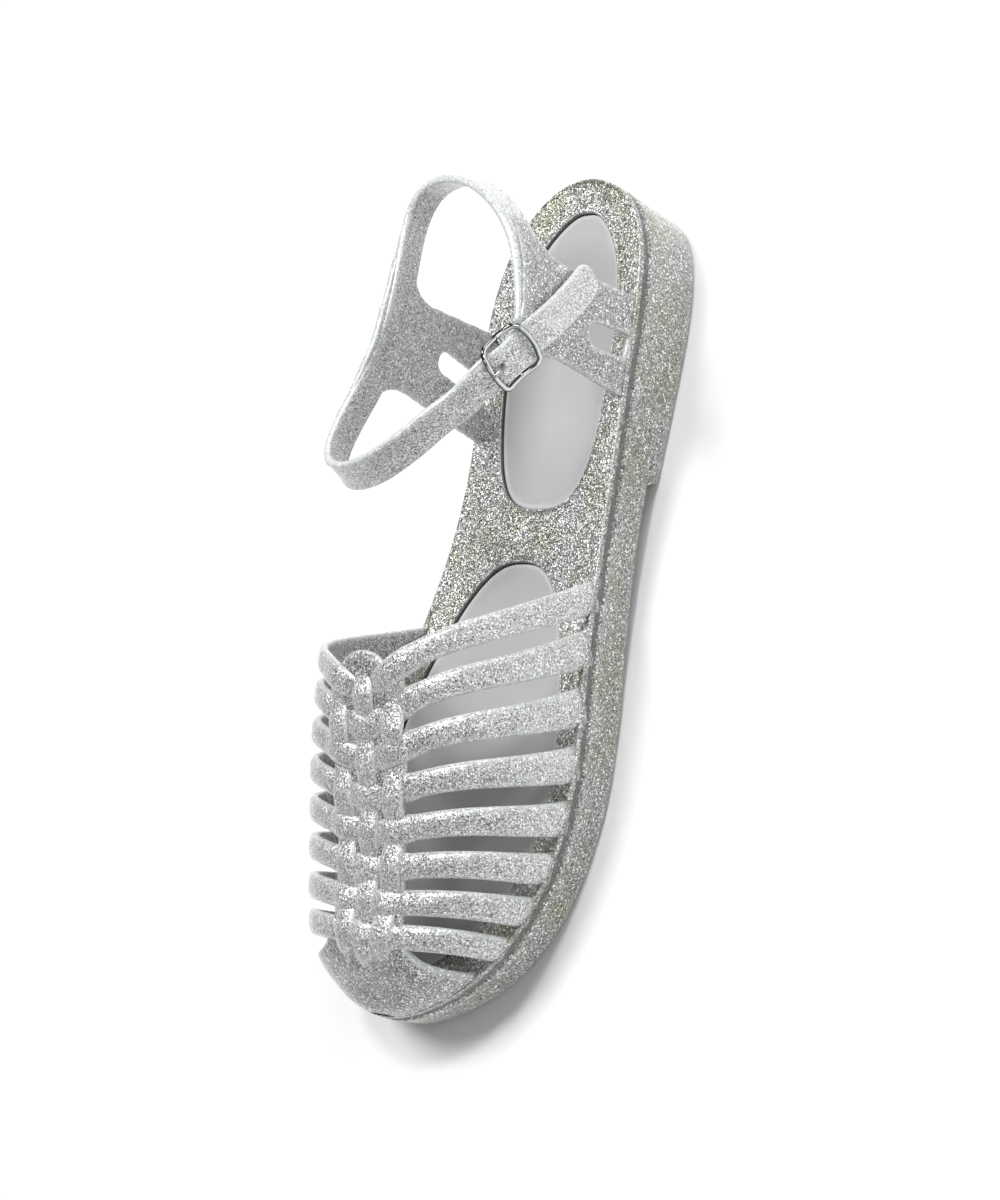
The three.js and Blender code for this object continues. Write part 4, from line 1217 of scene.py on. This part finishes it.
def makeBuckle():
    bm = newMesh()
    halfLong = collar["buckleLength"] / 2 - collar["wire"] / 2
    halfWide = collar["buckleWidth"] / 2 - collar["wire"] / 2
    bow = collar["buckleLength"] * 0.04
    radius = halfWide * 0.36
    corner = [(halfLong - radius + radius * math.sin(turn), halfWide - radius + radius * math.cos(turn))
              for turn in (math.pi / 2 * i / 5 for i in range(6))]
    side = [(halfLong + bow * 0.75, halfWide * 0.3)]

    def flip(rows, a, b):
        return [(along * a, across * b) for along, across in rows]

    quarterTurn = [(0, halfWide), (halfLong * 0.5, halfWide)] + corner + side
    loop = quarterTurn + flip(quarterTurn, 1, -1)[::-1] + flip(quarterTurn, -1, -1)[1:]
    loop += flip(quarterTurn, -1, 1)[:0:-1]
    spots = [atBuckle(along, across, mix(barHeight, endBarHeight, (abs(along) / halfLong) ** 2))
             for along, across in loop]
    path = curveThrough(spots[-3:] + spots + spots[:3])
    total = len(spots) + 5
    wire = collar["wire"]
    places = [station(path((3 + i / 8) / total), seatOut, wire * 1.12, wire * 0.95)
              for i in range(len(spots) * 8)]
    sweep(bm, framesAlong(places, closed=True), roundSection(16), closed=True)
    places = [station(atBuckle(0, mix(-halfWide, halfWide, i / 6), barHeight), seatOut, wire, wire)
              for i in range(7)]
    sweep(bm, framesAlong(places), roundSection(16))
    finishPiece("buckle_wire", bm, chromeFrame, ("buckle_frame",))

    bm = newMesh()
    half = collar["buckleLength"] / 2
    tipHeight = endBarHeight + collar["wire"] / 2 + collar["gap"] + collar["pin"] / 2
    spots = [
        atBuckle(-(collar["wire"] + collar["pin"]) / 2 - shoe["seatGap"], 0, barHeight),
        atBuckle(-half * 0.37, 0, barHeight + collar["pin"] * 0.1),
        atBuckle(-half * 0.58, 0, mix(barHeight, tipHeight, 0.52)),
        atBuckle(-half * 0.8, 0, mix(barHeight, tipHeight, 0.88)),
        atBuckle(-half - 0.3, 0, tipHeight),
    ]
    path = curveThrough(spots)
    places = [station(path(i / 40), seatAcross, collar["pin"], collar["pin"]) for i in range(41)]
    sweep(bm, roundEnds(framesAlong(places), collar["pin"] / 2), roundSection(14))
    finishPiece("buckle_tongue", bm, chromePin, ("buckle_pin",))


makeBuckle()

# Camera, floor and lights
view = {
    "azimuth": 75.3, "elevation": 39.8, "roll": -66.1, "distance": 0.9, "lens": 94.3,
    "target": (0.011, -0.0056, 0.03),
}


def makeCamera():
    camera = bpy.data.cameras.new("camera")
    holder = addObject("camera", camera)
    azimuth, elevation, roll = (math.radians(view[name]) for name in ("azimuth", "elevation", "roll"))
    back = Vector((math.cos(elevation) * math.sin(azimuth), -math.cos(elevation) * math.cos(azimuth),
                   math.sin(elevation)))
    level = Vector((0, 0, 1)).cross(back).normalized()
    right = level * math.cos(roll) + back.cross(level) * math.sin(roll)
    turn = Matrix((right, back.cross(right), back)).transposed().to_4x4()
    holder.matrix_world = Matrix.Translation(Vector(view["target"]) + back * view["distance"]) @ turn
    camera.sensor_fit = "VERTICAL"
    camera.sensor_height = 36.0
    camera.lens = view["lens"]
    camera.clip_start, camera.clip_end = 0.01, 50
    scene.camera = holder


studio = {
    "floorSize": 9.0, "floor": (0.92, 0.925, 0.93), "floorSpeck": 6.0, "floorShade": 0.995,
    "horizon": 0.86, "zenith": 0.12, "fade": (0.04, 0.48),
}
lamps = {
    "overhead": {"at": (-0.35, 0.3, 1.15), "size": 0.45, "power": 1.95, "kind": "SUN"},
    "crest": {"at": (0.2, 0.4, 1.1), "size": 0.22, "power": 4.0, "kind": "AREA"},
    "heel": {"at": (0.3, 1.05, 0.62), "size": 0.5, "power": 4.5, "kind": "AREA"},
    "front": {"at": (0.5, -1.2, 0.6), "size": 0.6, "power": 2.0, "kind": "AREA"},
    "side": {"at": (1.15, 0.1, 0.75), "size": 0.6, "power": 2.6, "kind": "AREA"},
}


def makeStudio():
    bm = bmesh.new()
    bmesh.ops.create_grid(bm, x_segments=24, y_segments=24, size=studio["floorSize"])
    finish = Finish("pale floor")
    tone = finish.blend(finish.noise(finish.place(), studio["floorSpeck"], Detail=2.0), studio["floor"],
                        tuple(value * studio["floorShade"] for value in studio["floor"]))
    floor = addObject("floor", meshFrom(bm, "floor"))
    floor.data.materials.append(finish.finish(Base_Color=tone, Roughness=0.7, Specular_IOR_Level=0.2))
    world = bpy.data.worlds.new("studio")
    world.use_nodes = True
    nodes, links = world.node_tree.nodes, world.node_tree.links
    direction = nodes.new("ShaderNodeTexCoord")
    split = nodes.new("ShaderNodeSeparateXYZ")
    ramp = nodes.new("ShaderNodeValToRGB")
    ramp.color_ramp.elements[0].position, ramp.color_ramp.elements[1].position = studio["fade"]
    ramp.color_ramp.elements[0].color = (*grey(studio["horizon"]), 1)
    ramp.color_ramp.elements[1].color = (*grey(studio["zenith"]), 1)
    links.new(direction.outputs["Generated"], split.inputs[0])
    links.new(split.outputs["Z"], ramp.inputs["Fac"])
    links.new(ramp.outputs["Color"], nodes["Background"].inputs["Color"])
    scene.world = world
    for name, row in lamps.items():
        light = bpy.data.lights.new(name, row["kind"])
        if row["kind"] == "SUN":
            light.angle = row["size"]
        else:
            light.shape = "DISK"
            light.size = row["size"]
        light.energy = row["power"]
        lamp = addObject(name, light)
        lamp.location = row["at"]
        toShoe = Vector((0, 0, 0.03)) - Vector(row["at"])
        lamp.rotation_euler = toShoe.to_track_quat("-Z", "Y").to_euler()
    scene.view_settings.view_transform = "Standard"


makeCamera()
makeStudio()
print("camera, floor and lights ready")
